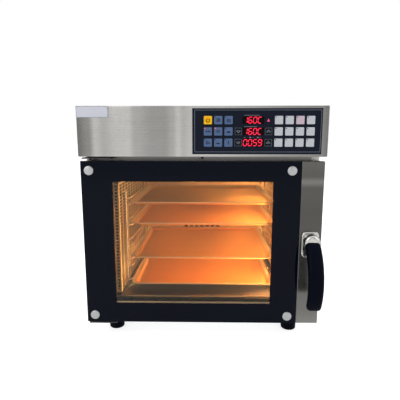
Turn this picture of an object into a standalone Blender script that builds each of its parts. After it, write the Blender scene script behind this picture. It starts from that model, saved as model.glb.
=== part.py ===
"""Countertop convection oven with a glazed side-hinged door, four trays and a rear fan.

Units are metres. +X is to the right, +Y runs from the door to the rear, +Z is up.
The origin is the centre of the bounding box at the height that the feet stand on.
"""
import math

import bmesh
import bpy
from mathutils import Matrix, Vector

# Whole oven
CABINET_WIDTH = 0.600
OVERALL_HEIGHT = 0.600
REAR_SPACE = 0.105
FOOT_HEIGHT = 0.040
SHEET = 0.0015
CLEARANCE = 0.0003
OVERRUN = 0.010
MERGE_DISTANCE = 0.00001

# Cabinet sheets
SIDE_FLANGE = 0.020
REAR_FLANGE = 0.012
COVER_FLANGE = 0.015
BASE_FLANGE = 0.020
FRAME_RETURN = 0.012
FRAME_LAP = 0.012
VENT_LENGTH = 0.060
VENT_HEIGHT = 0.004
VENT_PITCH = 0.014
VENT_INSET = 0.070
SIDE_VENT_HEIGHT = 0.090
BASE_VENT_LENGTH = 0.140
REAR_VENT_SPREAD = 0.300
SIDE_VENT_ROWS = 8
REAR_VENT_ROWS = 6
BASE_VENT_ROWS = 5

# Control housing above the door
HEADER_HEIGHT = 0.120
HEADER_PROUD = 0.013
HEADER_EDGE = 0.002
OVERLAY_WIDTH = 0.307
OVERLAY_HEIGHT = 0.1075
OVERLAY_THICKNESS = 0.0012
OVERLAY_RIGHT_MARGIN = 0.0161
OVERLAY_BACKING_MARGIN = 0.012
KEY_RATIO = 0.06384
FUNCTION_COLUMNS = 3
PROGRAM_COLUMNS = 4
KEY_THICKNESS = 0.0008
KEY_ROW_PITCH = 0.0263
FUNCTION_PITCH_RATIO = 0.07980
PROGRAM_PITCH_RATIO = 0.08143
FUNCTION_KEY_RATIO = -0.29967
PROGRAM_KEY_RATIO = 0.28762
ARROW_KEY_RATIO = 0.04886
DOWN_KEY_RATIO = -0.14397
UP_KEY_RATIO = 0.08762
KEY_ROWS_ABOVE_HEADER_BOTTOM = 0.0600
DISPLAY_RATIO = -0.02997
DISPLAY_WIDTH_RATIO = 0.16808
DISPLAY_HEIGHT = 0.0180
DISPLAY_CARRIER = 0.003
BOARD_THICKNESS = 0.0016
BOARD_DISTANCE = 0.014
BOARD_MARGIN = 0.006
BOARD_POST_RADIUS = 0.003
BOARD_POST_INSET = 0.005
BADGE_WIDTH = 0.077
BADGE_HEIGHT = 0.027
BADGE_THICKNESS = 0.001
BADGE_INSET = 0.0006

# Door
DOOR_TOP_GAP = 0.011
DOOR_DEPTH = 0.048
DOOR_LIFT = 0.008
DOOR_BODY_GAP = 0.007
GLASS_THICKNESS = 0.005
STILE_WIDTH = 0.0565
STILE_SEAM = 0.0006
STILE_SHEET = 0.0012
STILE_EDGE = 0.0025
PAN_DEPTH = 0.024
PAN_SIDE_INSET = 0.0015
PAN_LIP = 0.0665
PAN_TOP_LIP = 0.0380
INNER_GLASS_THICKNESS = 0.004
INNER_GLASS_LAP = 0.013
INNER_FRAME_LIP = 0.008
WINDOW_HINGE_MARGIN = 0.068
WINDOW_LATCH_MARGIN = 0.0595
WINDOW_SILL = 0.034
WINDOW_HEAD_MARGIN = 0.046
CAP_RADIUS = 0.0118
CAP_THICKNESS = 0.004
CAP_EDGE = 0.0012
CAP_INSET = 0.0205
CAP_RIGHT_INSET = 0.0230
CAP_LOWER_INSET = 0.0195
CAP_UPPER_INSET = 0.0235
STANDOFF_RADIUS = 0.007
STANDOFF_STUB_RADIUS = 0.004
GLASS_HOLE_RADIUS = 0.0050

# Door hinges
HINGE_INSET_X = 0.015
HINGE_INSET_Y = 0.012
HINGE_PIN_RADIUS = 0.004
HINGE_PIN_LENGTH = 0.020
HINGE_PLATE = 0.003
HINGE_PLATE_WIDTH = 0.076
HINGE_PLATE_NOSE = 0.0345
HINGE_SIDE_INSET = 0.004
HINGE_LEG = 0.045
HINGE_EDGE_INSET = 0.0225
UPPER_HINGE_DROP = 0.003
LOWER_HINGE_RISE = 0.0032
BUSH_RADIUS = 0.007
BUSH_WALL = 0.0026
BUSH_FLANGE_RADIUS = 0.009
BUSH_FLANGE = 0.0015
BUSH_LENGTH = 0.019

# Door handle, measured from the stile's face and the door's lower edge
HUB_HEIGHT = 0.222
HUB_RADIUS = 0.0200
HUB_REACH = 0.028
HUB_EDGE = 0.006
ROSETTE_WIDTH = 0.043
ROSETTE_HEIGHT = 0.066
ROSETTE_DROP = 0.010
ROSETTE_THICKNESS = 0.003
ROSETTE_CORNER = 0.010
GRIP_WIDTH = 0.0375
GRIP_THICKNESS = 0.022
GRIP_ARC_RADIUS = 0.116
GRIP_ARC_INSET = 0.046
GRIP_ARC_HEIGHT = 0.1238
GRIP_EDGE = 0.008
GRIP_START_ANGLE = math.radians(126)
GRIP_END_ANGLE = math.radians(210)
GRIP_STEPS_EACH_SIDE = 6
GRIP_EDGE_ANGLE = math.radians(50)
SPINDLE_RADIUS = 0.0035
SPINDLE_REACH = 0.009
HOOK_THICKNESS = 0.003
HOOK_LENGTH = 0.020
HOOK_WIDTH = 0.008
HOOK_BOSS_RADIUS = 0.0052
HOOK_BOSS_OPENING = math.radians(60)
LATCH_SLOT_LEFT = 0.0215
LATCH_SLOT_RIGHT = 0.0063
LATCH_SLOT_UP = 0.009
LATCH_SLOT_DOWN = 0.024
STRIKE_GAP = 0.0006
STRIKE_WIDTH = 0.030
STRIKE_HEIGHT = 0.012
STRIKE_DEPTH = 0.009
STRIKE_FOOT = 0.012

# Oven chamber
CHAMBER_SIDE_GAP = 0.064
CHAMBER_FLOOR = 0.050
CHAMBER_HEAD_GAP = 0.056
FAN_SPACE = 0.057
LINER_MOUTH_GAP = 0.0003
PANEL_INSET = 0.014
PANEL_FRONT_INSET = 0.008
PANEL_HEIGHT_INSET = 0.006
PANEL_SLOT_LENGTH = 0.040
PANEL_SLOT_HEIGHT = 0.006
PANEL_END_MARGINS = 0.043
PANEL_EDGE_MARGINS = 0.027
PANEL_SLOT_COLUMNS = 6
PANEL_SLOT_ROWS = 10
BAFFLE_FLANGE = 0.012
BAFFLE_SIDE_INSET = 0.0165
BAFFLE_HEIGHT_INSET = 0.012
GRILLE_MARGIN = 0.001
GRILLE_PITCH_RATIO = 0.24699
GRILLE_HOLE_RATIO = 0.68293
GRILLE_SPAN = 5
BAFFLE_STUD_INSET_X = 0.056
BAFFLE_STUD_INSET_Z = 0.0425
BAFFLE_STUD_RADIUS = 0.005
INSULATION_THICKNESS = 0.036
INSULATION_GAP = 0.0006

# Tray racks and trays
WIRE_RADIUS = 0.0025
WIRE_WALL_GAP = 0.0425
UPRIGHT_WALL_GAP = 0.0295
UPRIGHT_FRONT = 0.028
UPRIGHT_REAR_INSET = 0.010
RACK_FOOT = 0.010
RACK_HEAD = 0.030
RUNNER_FIRST = 0.020
RUNNER_HEAD_GAP = 0.0642
RUNNER_LEVELS = 5
GUIDE_RISE = 0.0185
RUNNER_BEND = 0.006
RUNNER_DIP = 0.006
STUD_RADIUS = 0.002
TRAY_WALL_GAP = 0.036
TRAY_LENGTH = 0.365
TRAY_SHEET = 0.0012
TRAY_DEPTH = 0.010
TRAY_RIM = 0.0105
TRAY_WALL_SPREAD = 0.006
TRAY_CORNER = 0.022
TRAY_BEAD = 0.0035
TRAY_FRONT = 0.027
TRAY_REAR_GAP = 0.011
TRAY_CORNER_STEPS = 4

# Fan, heater and motor, on the chamber's axis
FAN_DEPTH = 0.030
FAN_PLATE = 0.0015
FAN_BLADES = 12
FAN_BLADE_SHEET = 0.0014
FAN_BLADE_INNER_RATIO = 0.5122
FAN_RIM = 0.002
FAN_BLADE_SWEEP = math.radians(26)
FAN_BLADE_STEPS = 3
FAN_RING_RATIO = 0.80488
FAN_BAFFLE_GAP = 0.010
FAN_HUB_RADIUS = 0.012
FAN_HUB_LENGTH = 0.020
SHAFT_RADIUS = 0.005
SHAFT_LENGTH = 0.100
SHAFT_TIP = 0.012
NUT_RADIUS = 0.008
NUT_LENGTH = 0.008
HEATER_RATIO = 0.31746
HEATER_FAN_GAP = 0.018
HEATER_TUBE = 0.004
HEATER_STEPS = 26
HEATER_GAP_ANGLE = math.radians(24)
HEATER_TAIL = 0.070
MOTOR_RADIUS = 0.042
MOTOR_BELL_RADIUS = 0.030
MOTOR_LENGTH = 0.048
MOTOR_BELL = 0.008
MOTOR_EDGE = 0.003
MOTOR_PLATE = 0.003
MOTOR_PLATE_SIZE = 0.100
MOTOR_BEARING_DEPTH = 0.020

# Lamp in the right-hand wall
LAMP_DEPTH = 0.090
LAMP_HEIGHT = 0.150
LAMP_LENS_RADIUS = 0.026
LAMP_LENS_THICKNESS = 0.006
LAMP_LENS_EDGE = 0.002
LAMP_CUP_RADIUS = 0.028
LAMP_CUP_WALL = 0.0012
LAMP_CUP_DEPTH = 0.038
LAMP_BULB_RADIUS = 0.009
LAMP_BULB_LENGTH = 0.022
LAMP_SOCKET_RADIUS = 0.010
LAMP_SOCKET_LENGTH = 0.010

# Seal, feet and rear fittings
GASKET_WIDTH = 0.009
GASKET_INSET = 0.0065
FOOT_TOP_RADIUS = 0.0235
FOOT_BOTTOM_RADIUS = 0.0200
FOOT_COLLAR = 0.006
FOOT_EDGE = 0.002
FOOT_INSET_X = 0.0595
FOOT_INSET_FRONT = 0.006
FOOT_INSET_REAR = 0.060
GLAND_REACH = 0.018
GLAND_RADIUS = 0.012
GLAND_BORE = 0.005
GLAND_NUT = 0.007
GLAND_TAIL = 0.012
GLAND_HEIGHT = 0.070
GLAND_INSET_X = 0.090
VENT_PIPE_RADIUS = 0.018
VENT_PIPE_WALL = 0.0015
VENT_PIPE_REACH = 0.014
VENT_PIPE_INSET = 0.076
PROBE_RADIUS = 0.003
PROBE_LENGTH = 0.060
PROBE_INSET = 0.086
PROBE_DROP = 0.065
SENSOR_RADIUS = 0.004
SENSOR_LENGTH = 0.010
SENSOR_DROP = 0.006

# Facets round turned pieces
WHEEL_STEPS = 36
ROUND_STEPS = 24
SMALL_STEPS = 12
CORNER_STEPS = 4
NUT_SIDES = 6
BOSS_STEPS = 10
TIP_STEPS = 6
EDGE_STEPS = 3
BOX_EDGE_STEPS = 2

# Levels and planes worked out from the sizes above
HALF_WIDTH = CABINET_WIDTH / 2
BAFFLE_DEPTH = TRAY_FRONT + TRAY_LENGTH + TRAY_REAR_GAP
LINER_DEPTH = BAFFLE_DEPTH + FAN_SPACE
BODY_DEPTH = LINER_DEPTH + REAR_SPACE
GRIP_REACH = GRIP_ARC_RADIUS + GRIP_THICKNESS / 2 - GRIP_ARC_INSET
TOTAL_DEPTH = GRIP_REACH + DOOR_DEPTH + DOOR_BODY_GAP + BODY_DEPTH + GLAND_REACH
GLASS_FRONT = GRIP_REACH - TOTAL_DEPTH / 2
DOOR_BACK = GLASS_FRONT + DOOR_DEPTH
PAN_FRONT = DOOR_BACK - PAN_DEPTH
BODY_FRONT = DOOR_BACK + DOOR_BODY_GAP
BODY_REAR = BODY_FRONT + BODY_DEPTH
HEADER_FRONT = GLASS_FRONT - HEADER_PROUD
HEADER_BOTTOM = OVERALL_HEIGHT - HEADER_HEIGHT
DOOR_BOTTOM = FOOT_HEIGHT + DOOR_LIFT
DOOR_TOP = HEADER_BOTTOM - DOOR_TOP_GAP
DOOR_HEIGHT = DOOR_TOP - DOOR_BOTTOM
STILE_LEFT = HALF_WIDTH - STILE_WIDTH
STILE_MIDDLE = HALF_WIDTH - STILE_WIDTH / 2
WINDOW_LEFT = HALF_WIDTH - WINDOW_HINGE_MARGIN
WINDOW_RIGHT = STILE_LEFT - WINDOW_LATCH_MARGIN
WINDOW_HEAD = DOOR_HEIGHT - WINDOW_HEAD_MARGIN
HUB_Z = DOOR_BOTTOM + HUB_HEIGHT
INNER_HALF = HALF_WIDTH - SHEET - CLEARANCE
FRAME_HALF = HALF_WIDTH - SIDE_FLANGE - CLEARANCE
REAR_PAN_BACK = BODY_REAR - SHEET - CLEARANCE
REAR_PAN_FRONT = REAR_PAN_BACK - REAR_FLANGE
FRAME_BACK = BODY_FRONT + SHEET
CAVITY_FLOOR = DOOR_BOTTOM + CHAMBER_FLOOR
CAVITY_TOP = DOOR_TOP - CHAMBER_HEAD_GAP
CHAMBER_HEIGHT = CAVITY_TOP - CAVITY_FLOOR
CHAMBER_HALF_WIDTH = HALF_WIDTH - CHAMBER_SIDE_GAP
FAN_Z = CAVITY_FLOOR + CHAMBER_HEIGHT / 2
BAFFLE_Y = BODY_FRONT + BAFFLE_DEPTH
LINER_BACK = BODY_FRONT + LINER_DEPTH
HINGE_X = HINGE_INSET_X - HALF_WIDTH
HINGE_Y = DOOR_BACK - HINGE_INSET_Y
PANEL_X = CHAMBER_HALF_WIDTH - PANEL_INSET
PANEL_SLOT_PITCH_Y = (BAFFLE_DEPTH - PANEL_END_MARGINS) / PANEL_SLOT_COLUMNS
PANEL_SLOT_PITCH_Z = (CHAMBER_HEIGHT - PANEL_EDGE_MARGINS) / PANEL_SLOT_ROWS
WIRE_HALF_SPREAD = CHAMBER_HALF_WIDTH - WIRE_WALL_GAP
UPRIGHT_HALF_SPREAD = CHAMBER_HALF_WIDTH - UPRIGHT_WALL_GAP
UPRIGHT_REAR = TRAY_FRONT + TRAY_LENGTH - UPRIGHT_REAR_INSET
RUNNER_RISE = CHAMBER_HEIGHT - RUNNER_FIRST - RUNNER_HEAD_GAP
RUNNER_PITCH = RUNNER_RISE / (RUNNER_LEVELS - 1)
TRAY_HALF_WIDTH = CHAMBER_HALF_WIDTH - TRAY_WALL_GAP
HEATER_RADIUS = HEATER_RATIO * CHAMBER_HEIGHT
FAN_RADIUS = HEATER_RADIUS - HEATER_FAN_GAP
FAN_BLADE_INNER = FAN_BLADE_INNER_RATIO * FAN_RADIUS
FAN_BLADE_OUTER = FAN_RADIUS - FAN_RIM
FAN_RING_INNER = FAN_RING_RATIO * FAN_RADIUS
GRILLE_RADIUS = FAN_RADIUS + GRILLE_MARGIN
GRILLE_PITCH = GRILLE_PITCH_RATIO * GRILLE_RADIUS
GRILLE_HOLE = GRILLE_HOLE_RATIO * GRILLE_PITCH
BAFFLE_STUD_X = CHAMBER_HALF_WIDTH - BAFFLE_STUD_INSET_X
BAFFLE_STUD_Z = CHAMBER_HEIGHT / 2 - BAFFLE_STUD_INSET_Z
VENT_PIPE_X = CHAMBER_HALF_WIDTH - VENT_PIPE_INSET
PROBE_X = CHAMBER_HALF_WIDTH - PROBE_INSET
PROBE_HEIGHT = CHAMBER_HEIGHT - PROBE_DROP
OVERLAY_RIGHT = HALF_WIDTH - OVERLAY_RIGHT_MARGIN
OVERLAY_MIDDLE_X = OVERLAY_RIGHT - OVERLAY_WIDTH / 2
OVERLAY_MIDDLE_Z = HEADER_BOTTOM + HEADER_HEIGHT / 2
OVERLAY_BACK = HEADER_FRONT - CLEARANCE
OVERLAY_FRONT = OVERLAY_BACK - OVERLAY_THICKNESS
KEY_MIDDLE_Z = HEADER_BOTTOM + KEY_ROWS_ABOVE_HEADER_BOTTOM
KEY_SIZE = KEY_RATIO * OVERLAY_WIDTH
ARROW_KEY_SIZE = ARROW_KEY_RATIO * OVERLAY_WIDTH
FUNCTION_KEY_PITCH = FUNCTION_PITCH_RATIO * OVERLAY_WIDTH
PROGRAM_KEY_PITCH = PROGRAM_PITCH_RATIO * OVERLAY_WIDTH
FUNCTION_KEY_X = OVERLAY_MIDDLE_X + FUNCTION_KEY_RATIO * OVERLAY_WIDTH
PROGRAM_KEY_X = OVERLAY_MIDDLE_X + PROGRAM_KEY_RATIO * OVERLAY_WIDTH
DOWN_KEY_X = OVERLAY_MIDDLE_X + DOWN_KEY_RATIO * OVERLAY_WIDTH
UP_KEY_X = OVERLAY_MIDDLE_X + UP_KEY_RATIO * OVERLAY_WIDTH
DISPLAY_X = OVERLAY_MIDDLE_X + DISPLAY_RATIO * OVERLAY_WIDTH
DISPLAY_WIDTH = DISPLAY_WIDTH_RATIO * OVERLAY_WIDTH
UPPER_PLATE_LOW = HEADER_BOTTOM - UPPER_HINGE_DROP - HINGE_PLATE
LOWER_PLATE_LOW = FOOT_HEIGHT + LOWER_HINGE_RISE
SENSOR_Z = HEADER_BOTTOM - SENSOR_DROP
LAMP_Y = BODY_FRONT + LAMP_DEPTH
LAMP_Z = CAVITY_FLOOR + LAMP_HEIGHT
STEAM_Z = CAVITY_TOP - VENT_PIPE_RADIUS * 2

PARTS = bpy.data.collections.new("convection_oven")
CUTTERS = bpy.data.collections.new("cutters")


def clear_scene():
    """Remove what the start-up file holds and link the two collections."""
    for item in list(bpy.data.objects):
        bpy.data.objects.remove(item, do_unlink=True)
    for group in (PARTS, CUTTERS):
        bpy.context.scene.collection.children.link(group)


def finish(name, colour, roughness, metallic=0.0, alpha=1.0, glow=None):
    """A Principled material of one colour."""
    material = bpy.data.materials.new(name)
    material.use_nodes = True
    shader = material.node_tree.nodes["Principled BSDF"]
    shader.inputs["Base Color"].default_value = (*colour, 1.0)
    shader.inputs["Roughness"].default_value = roughness
    shader.inputs["Metallic"].default_value = metallic
    shader.inputs["Alpha"].default_value = alpha
    if glow:
        shader.inputs["Emission Color"].default_value = (*glow, 1.0)
        shader.inputs["Emission Strength"].default_value = 1.0
    material.diffuse_color = (*colour, alpha)
    return material


def add_object(name, mesh, material, location=(0, 0, 0)):
    """Put a mesh in the parts collection as a named piece."""
    piece = bpy.data.objects.new(name, mesh)
    PARTS.objects.link(piece)
    piece.location = location
    if material:
        mesh.materials.append(material)
    return piece


def as_cutter(piece):
    """Move a helper shape to the cutters, where it isn't built."""
    PARTS.objects.unlink(piece)
    CUTTERS.objects.link(piece)
    piece.display_type = "WIRE"
    piece.hide_render = True
    return piece


def blocks_mesh(name, spans):
    """A mesh of separate boxes, each given by its low and high corners."""
    mesh = bpy.data.meshes.new(name)
    form = bmesh.new()
    for low, high in spans:
        middle = (Vector(low) + Vector(high)) / 2
        size = Vector(high) - Vector(low)
        place = Matrix.Translation(middle) @ Matrix.Diagonal((*size, 1))
        bmesh.ops.create_cube(form, size=1, matrix=place)
    form.to_mesh(mesh)
    form.free()
    return mesh


def block(name, low, high, material, edge=0.0, segments=1):
    """One box with its origin at its middle."""
    middle = (Vector(low) + Vector(high)) / 2
    mesh = blocks_mesh(name, [(Vector(low) - middle, Vector(high) - middle)])
    piece = add_object(name, mesh, material, middle)
    if edge:
        bevel(piece, edge, segments)
    return piece


def blocks(name, spans, material):
    """Several separate boxes in one piece."""
    return add_object(name, blocks_mesh(name, spans), material)


def bevel(piece, width, segments=1, angle=math.radians(30)):
    """Round the edges that are sharper than the angle."""
    modifier = piece.modifiers.new("edges", "BEVEL")
    modifier.width = width
    modifier.segments = segments
    modifier.limit_method = "ANGLE"
    modifier.angle_limit = angle
    return modifier


def solidify(piece, thickness, offset=-1.0):
    """Give an open surface its sheet thickness, inwards unless told otherwise."""
    modifier = piece.modifiers.new("sheet", "SOLIDIFY")
    modifier.thickness = thickness
    modifier.offset = offset
    modifier.use_even_offset = True
    return modifier


def combine(piece, other, operation):
    """Cut or join a piece with a helper shape."""
    modifier = piece.modifiers.new(operation.lower(), "BOOLEAN")
    modifier.operation = operation
    modifier.solver = "EXACT"
    modifier.object = as_cutter(other)
    return piece


def cut(piece, other):
    return combine(piece, other, "DIFFERENCE")


def join(piece, other):
    return combine(piece, other, "UNION")


def cut_blocks(piece, name, spans):
    """Cut box-shaped openings."""
    return cut(piece, blocks(name, spans, None))


def open_box(name, low, high, open_sides, thickness, material, edge=0.0):
    """A folded sheet box that lacks the sides whose outward directions are given."""
    middle = (Vector(low) + Vector(high)) / 2
    mesh = blocks_mesh(name, [(Vector(low) - middle, Vector(high) - middle)])
    form = bmesh.new()
    form.from_mesh(mesh)
    form.normal_update()
    missing = [
        face for face in form.faces
        if any(face.normal.dot(Vector(side)) > 0.5 for side in open_sides)
    ]
    bmesh.ops.delete(form, geom=missing, context="FACES")
    form.to_mesh(mesh)
    form.free()
    piece = add_object(name, mesh, material, middle)
    if edge:
        bevel(piece, edge, BOX_EDGE_STEPS)
    solidify(piece, thickness)
    return piece


def folded_sheet(name, profile, bottom, top, thickness, material):
    """A folded sheet: a plan outline raised from bottom to top, thickened to its left."""
    mesh = bpy.data.meshes.new(name)
    form = bmesh.new()
    row = [form.verts.new((x, y, bottom)) for x, y in profile]
    edges = [form.edges.new(pair) for pair in zip(row, row[1:])]
    raised = bmesh.ops.extrude_edge_only(form, edges=edges)["geom"]
    corners = [item for item in raised if isinstance(item, bmesh.types.BMVert)]
    bmesh.ops.translate(form, verts=corners, vec=(0, 0, top - bottom))
    form.to_mesh(mesh)
    form.free()
    piece = add_object(name, mesh, material)
    solidify(piece, thickness)
    return piece


AXIS_TURNS = {
    "+Z": Matrix.Identity(4),
    "-Z": Matrix.Rotation(math.pi, 4, "X"),
    "+Y": Matrix.Rotation(-math.pi / 2, 4, "X"),
    "-Y": Matrix.Rotation(math.pi / 2, 4, "X"),
    "+X": Matrix.Rotation(math.pi / 2, 4, "Y"),
    "-X": Matrix.Rotation(-math.pi / 2, 4, "Y"),
}


def turned(name, profile, location, direction, material, steps=ROUND_STEPS, ring=False):
    """A turned shape. The profile's radii and heights run from its top down its outer side."""
    mesh = bpy.data.meshes.new(name)
    form = bmesh.new()
    row = [form.verts.new((radius, 0, height)) for radius, height in profile]
    ends = zip(row, row[1:] + row[:1]) if ring else zip(row, row[1:])
    for pair in ends:
        form.edges.new(pair)
    form.to_mesh(mesh)
    form.free()
    piece = add_object(name, mesh, material)
    piece.matrix_world = Matrix.Translation(location) @ AXIS_TURNS[direction]
    screw = piece.modifiers.new("turn", "SCREW")
    screw.steps = steps
    screw.render_steps = steps
    screw.use_merge_vertices = True
    screw.merge_threshold = MERGE_DISTANCE
    screw.use_smooth_shade = True
    return piece


def rod(name, radius, start, length, direction, material, steps=ROUND_STEPS):
    """A plain round bar from its start along a direction."""
    profile = [(0, length), (radius, length), (radius, 0), (0, 0)]
    return turned(name, profile, start, direction, material, steps)


def mesh_from_curve(curve_object, material):
    """Turn a curve into a closed mesh with its caps welded."""
    bpy.context.view_layer.update()
    evaluated = curve_object.evaluated_get(bpy.context.evaluated_depsgraph_get())
    mesh = bpy.data.meshes.new_from_object(evaluated)
    name = curve_object.name
    place = curve_object.matrix_world.copy()
    bpy.data.objects.remove(curve_object, do_unlink=True)
    form = bmesh.new()
    form.from_mesh(mesh)
    bmesh.ops.remove_doubles(form, verts=form.verts, dist=MERGE_DISTANCE)
    form.to_mesh(mesh)
    form.free()
    mesh.materials.clear()
    mesh.name = name
    piece = add_object(name, mesh, material)
    piece.matrix_world = place
    return piece


def tubes(name, routes, radius, material, resolution=2):
    """Round wires along lists of points, as one mesh of separate wires."""
    data = bpy.data.curves.new(name, "CURVE")
    data.dimensions = "3D"
    data.bevel_depth = radius
    data.bevel_resolution = resolution
    data.use_fill_caps = True
    for route in routes:
        spline = data.splines.new("POLY")
        spline.points.add(len(route) - 1)
        for point, place in zip(spline.points, route):
            point.co = (*place, 1)
    curve_object = bpy.data.objects.new(name, data)
    PARTS.objects.link(curve_object)
    return mesh_from_curve(curve_object, material)


def plate(name, outlines, thickness, place, material):
    """Flat plates with the given outlines, as thick as stated, about their own mid-plane."""
    data = bpy.data.curves.new(name, "CURVE")
    data.dimensions = "2D"
    data.fill_mode = "BOTH"
    data.extrude = thickness / 2
    for outline in outlines:
        spline = data.splines.new("POLY")
        spline.points.add(len(outline) - 1)
        spline.use_cyclic_u = True
        for point, (across, along) in zip(spline.points, outline):
            point.co = (across, along, 0, 1)
    curve_object = bpy.data.objects.new(name, data)
    PARTS.objects.link(curve_object)
    curve_object.matrix_world = place
    return mesh_from_curve(curve_object, material)


def facing_front(location):
    """A place whose outline's up is +Z and whose thickness runs along Y."""
    return Matrix.Translation(location) @ Matrix.Rotation(math.pi / 2, 4, "X")


def facing_side(location):
    """A place whose outline's across is +Y, whose up is +Z and whose thickness runs along X."""
    turn = Matrix(((0, 0, 1, 0), (1, 0, 0, 0), (0, 1, 0, 0), (0, 0, 0, 1)))
    return Matrix.Translation(location) @ turn


def arc(middle, radius, start, end, steps):
    """Points on an arc, both ends included."""
    across, along = middle
    angles = [start + (end - start) * step / steps for step in range(steps + 1)]
    return [(across + radius * math.cos(a), along + radius * math.sin(a)) for a in angles]


def rounded_rectangle(half_width, half_height, corner, steps):
    """A rectangle outline with round corners, anticlockwise about the middle."""
    points = []
    quarter = math.pi / 2
    for index, (side, up) in enumerate(((1, 1), (-1, 1), (-1, -1), (1, -1))):
        middle = (side * (half_width - corner), up * (half_height - corner))
        points += arc(middle, corner, index * quarter, (index + 1) * quarter, steps)
    return points


def pivot(name, location):
    """An empty on a joint's axis."""
    empty = bpy.data.objects.new(name, None)
    PARTS.objects.link(empty)
    empty.location = location
    return empty


def carry(empty, pieces):
    """Parent pieces to a pivot and keep them where they are."""
    bpy.context.view_layer.update()
    for piece in pieces:
        piece.parent = empty
        piece.matrix_parent_inverse = empty.matrix_world.inverted()


STEEL = finish("brushed_steel", (0.60, 0.59, 0.57), 0.34, 1.0)
BRIGHT = finish("polished_steel", (0.72, 0.71, 0.69), 0.16, 1.0)
CHROME = finish("chrome", (0.80, 0.80, 0.80), 0.08, 1.0)
GALVANISED = finish("galvanised", (0.52, 0.54, 0.55), 0.45, 1.0)
DARK_STEEL = finish("dark_steel", (0.10, 0.10, 0.10), 0.40, 1.0)
ALUMINIUM = finish("aluminium", (0.70, 0.70, 0.70), 0.35, 1.0)
BRONZE = finish("bronze", (0.55, 0.37, 0.18), 0.35, 1.0)
GLASS = finish("tinted_glass", (0.03, 0.03, 0.04), 0.04, 0.0, 0.45)
CLEAR_GLASS = finish("clear_glass", (0.80, 0.85, 0.84), 0.04, 0.0, 0.25)
LAMP_GLASS = finish("lamp_glass", (1.0, 0.86, 0.60), 0.10, 0.0, 0.50, (1.0, 0.62, 0.22))
GRIP_BLACK = finish("grip_black", (0.012, 0.013, 0.018), 0.38)
OVERLAY_BLACK = finish("overlay_black", (0.015, 0.018, 0.028), 0.30)
DISPLAY_RED = finish("display_red", (0.10, 0.01, 0.015), 0.20, 0.0, 1.0, (0.8, 0.02, 0.06))
BOARD_GREEN = finish("board_green", (0.03, 0.22, 0.09), 0.50)
RUBBER = finish("rubber", (0.018, 0.018, 0.020), 0.70)
SILICONE = finish("silicone", (0.05, 0.05, 0.055), 0.60)
WOOL = finish("mineral_wool", (0.62, 0.58, 0.46), 0.95)
NYLON = finish("nylon_black", (0.02, 0.02, 0.02), 0.55)


def side_panel(name, side):
    """An outer side with folded front and rear flanges and a block of vents near the rear."""
    profile = [
        (side * (HALF_WIDTH - SIDE_FLANGE), BODY_FRONT),
        (side * HALF_WIDTH, BODY_FRONT),
        (side * HALF_WIDTH, BODY_REAR),
        (side * (HALF_WIDTH - SIDE_FLANGE), BODY_REAR),
    ]
    if side > 0:
        profile.reverse()
    panel = folded_sheet(name, profile, FOOT_HEIGHT, OVERALL_HEIGHT, SHEET, STEEL)
    rear = BODY_REAR - VENT_INSET
    spans = []
    for row in range(SIDE_VENT_ROWS):
        low = FOOT_HEIGHT + SIDE_VENT_HEIGHT + row * VENT_PITCH
        inner = side * (HALF_WIDTH - OVERRUN)
        outer = side * (HALF_WIDTH + OVERRUN)
        spans.append((
            (min(inner, outer), rear - VENT_LENGTH, low),
            (max(inner, outer), rear, low + VENT_HEIGHT),
        ))
    return cut_blocks(panel, name + "_vents", spans)


def top_cover():
    """The top sheet, folded down inside the two side panels."""
    profile_low = (-INNER_HALF, BODY_FRONT + SHEET + CLEARANCE, OVERALL_HEIGHT - COVER_FLANGE)
    profile_high = (INNER_HALF, REAR_PAN_BACK, OVERALL_HEIGHT)
    sides = ((0, 0, -1), (0, 1, 0), (0, -1, 0))
    return open_box("top_cover", profile_low, profile_high, sides, SHEET, STEEL)


def base_pan():
    """The floor sheet with upturned flanges and cooling slots."""
    half = INNER_HALF
    low = (-half, FRAME_BACK + CLEARANCE, FOOT_HEIGHT)
    high = (half, REAR_PAN_FRONT - CLEARANCE, FOOT_HEIGHT + BASE_FLANGE)
    pan = open_box("base_pan", low, high, ((0, 0, 1), (0, -1, 0)), SHEET, GALVANISED)
    spans = []
    for row in range(BASE_VENT_ROWS):
        front = REAR_PAN_FRONT - VENT_INSET - row * VENT_PITCH
        spans.append((
            (-BASE_VENT_LENGTH / 2, front - VENT_HEIGHT, FOOT_HEIGHT - OVERRUN),
            (BASE_VENT_LENGTH / 2, front, FOOT_HEIGHT + OVERRUN),
        ))
    return cut_blocks(pan, "base_vents", spans)


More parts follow.
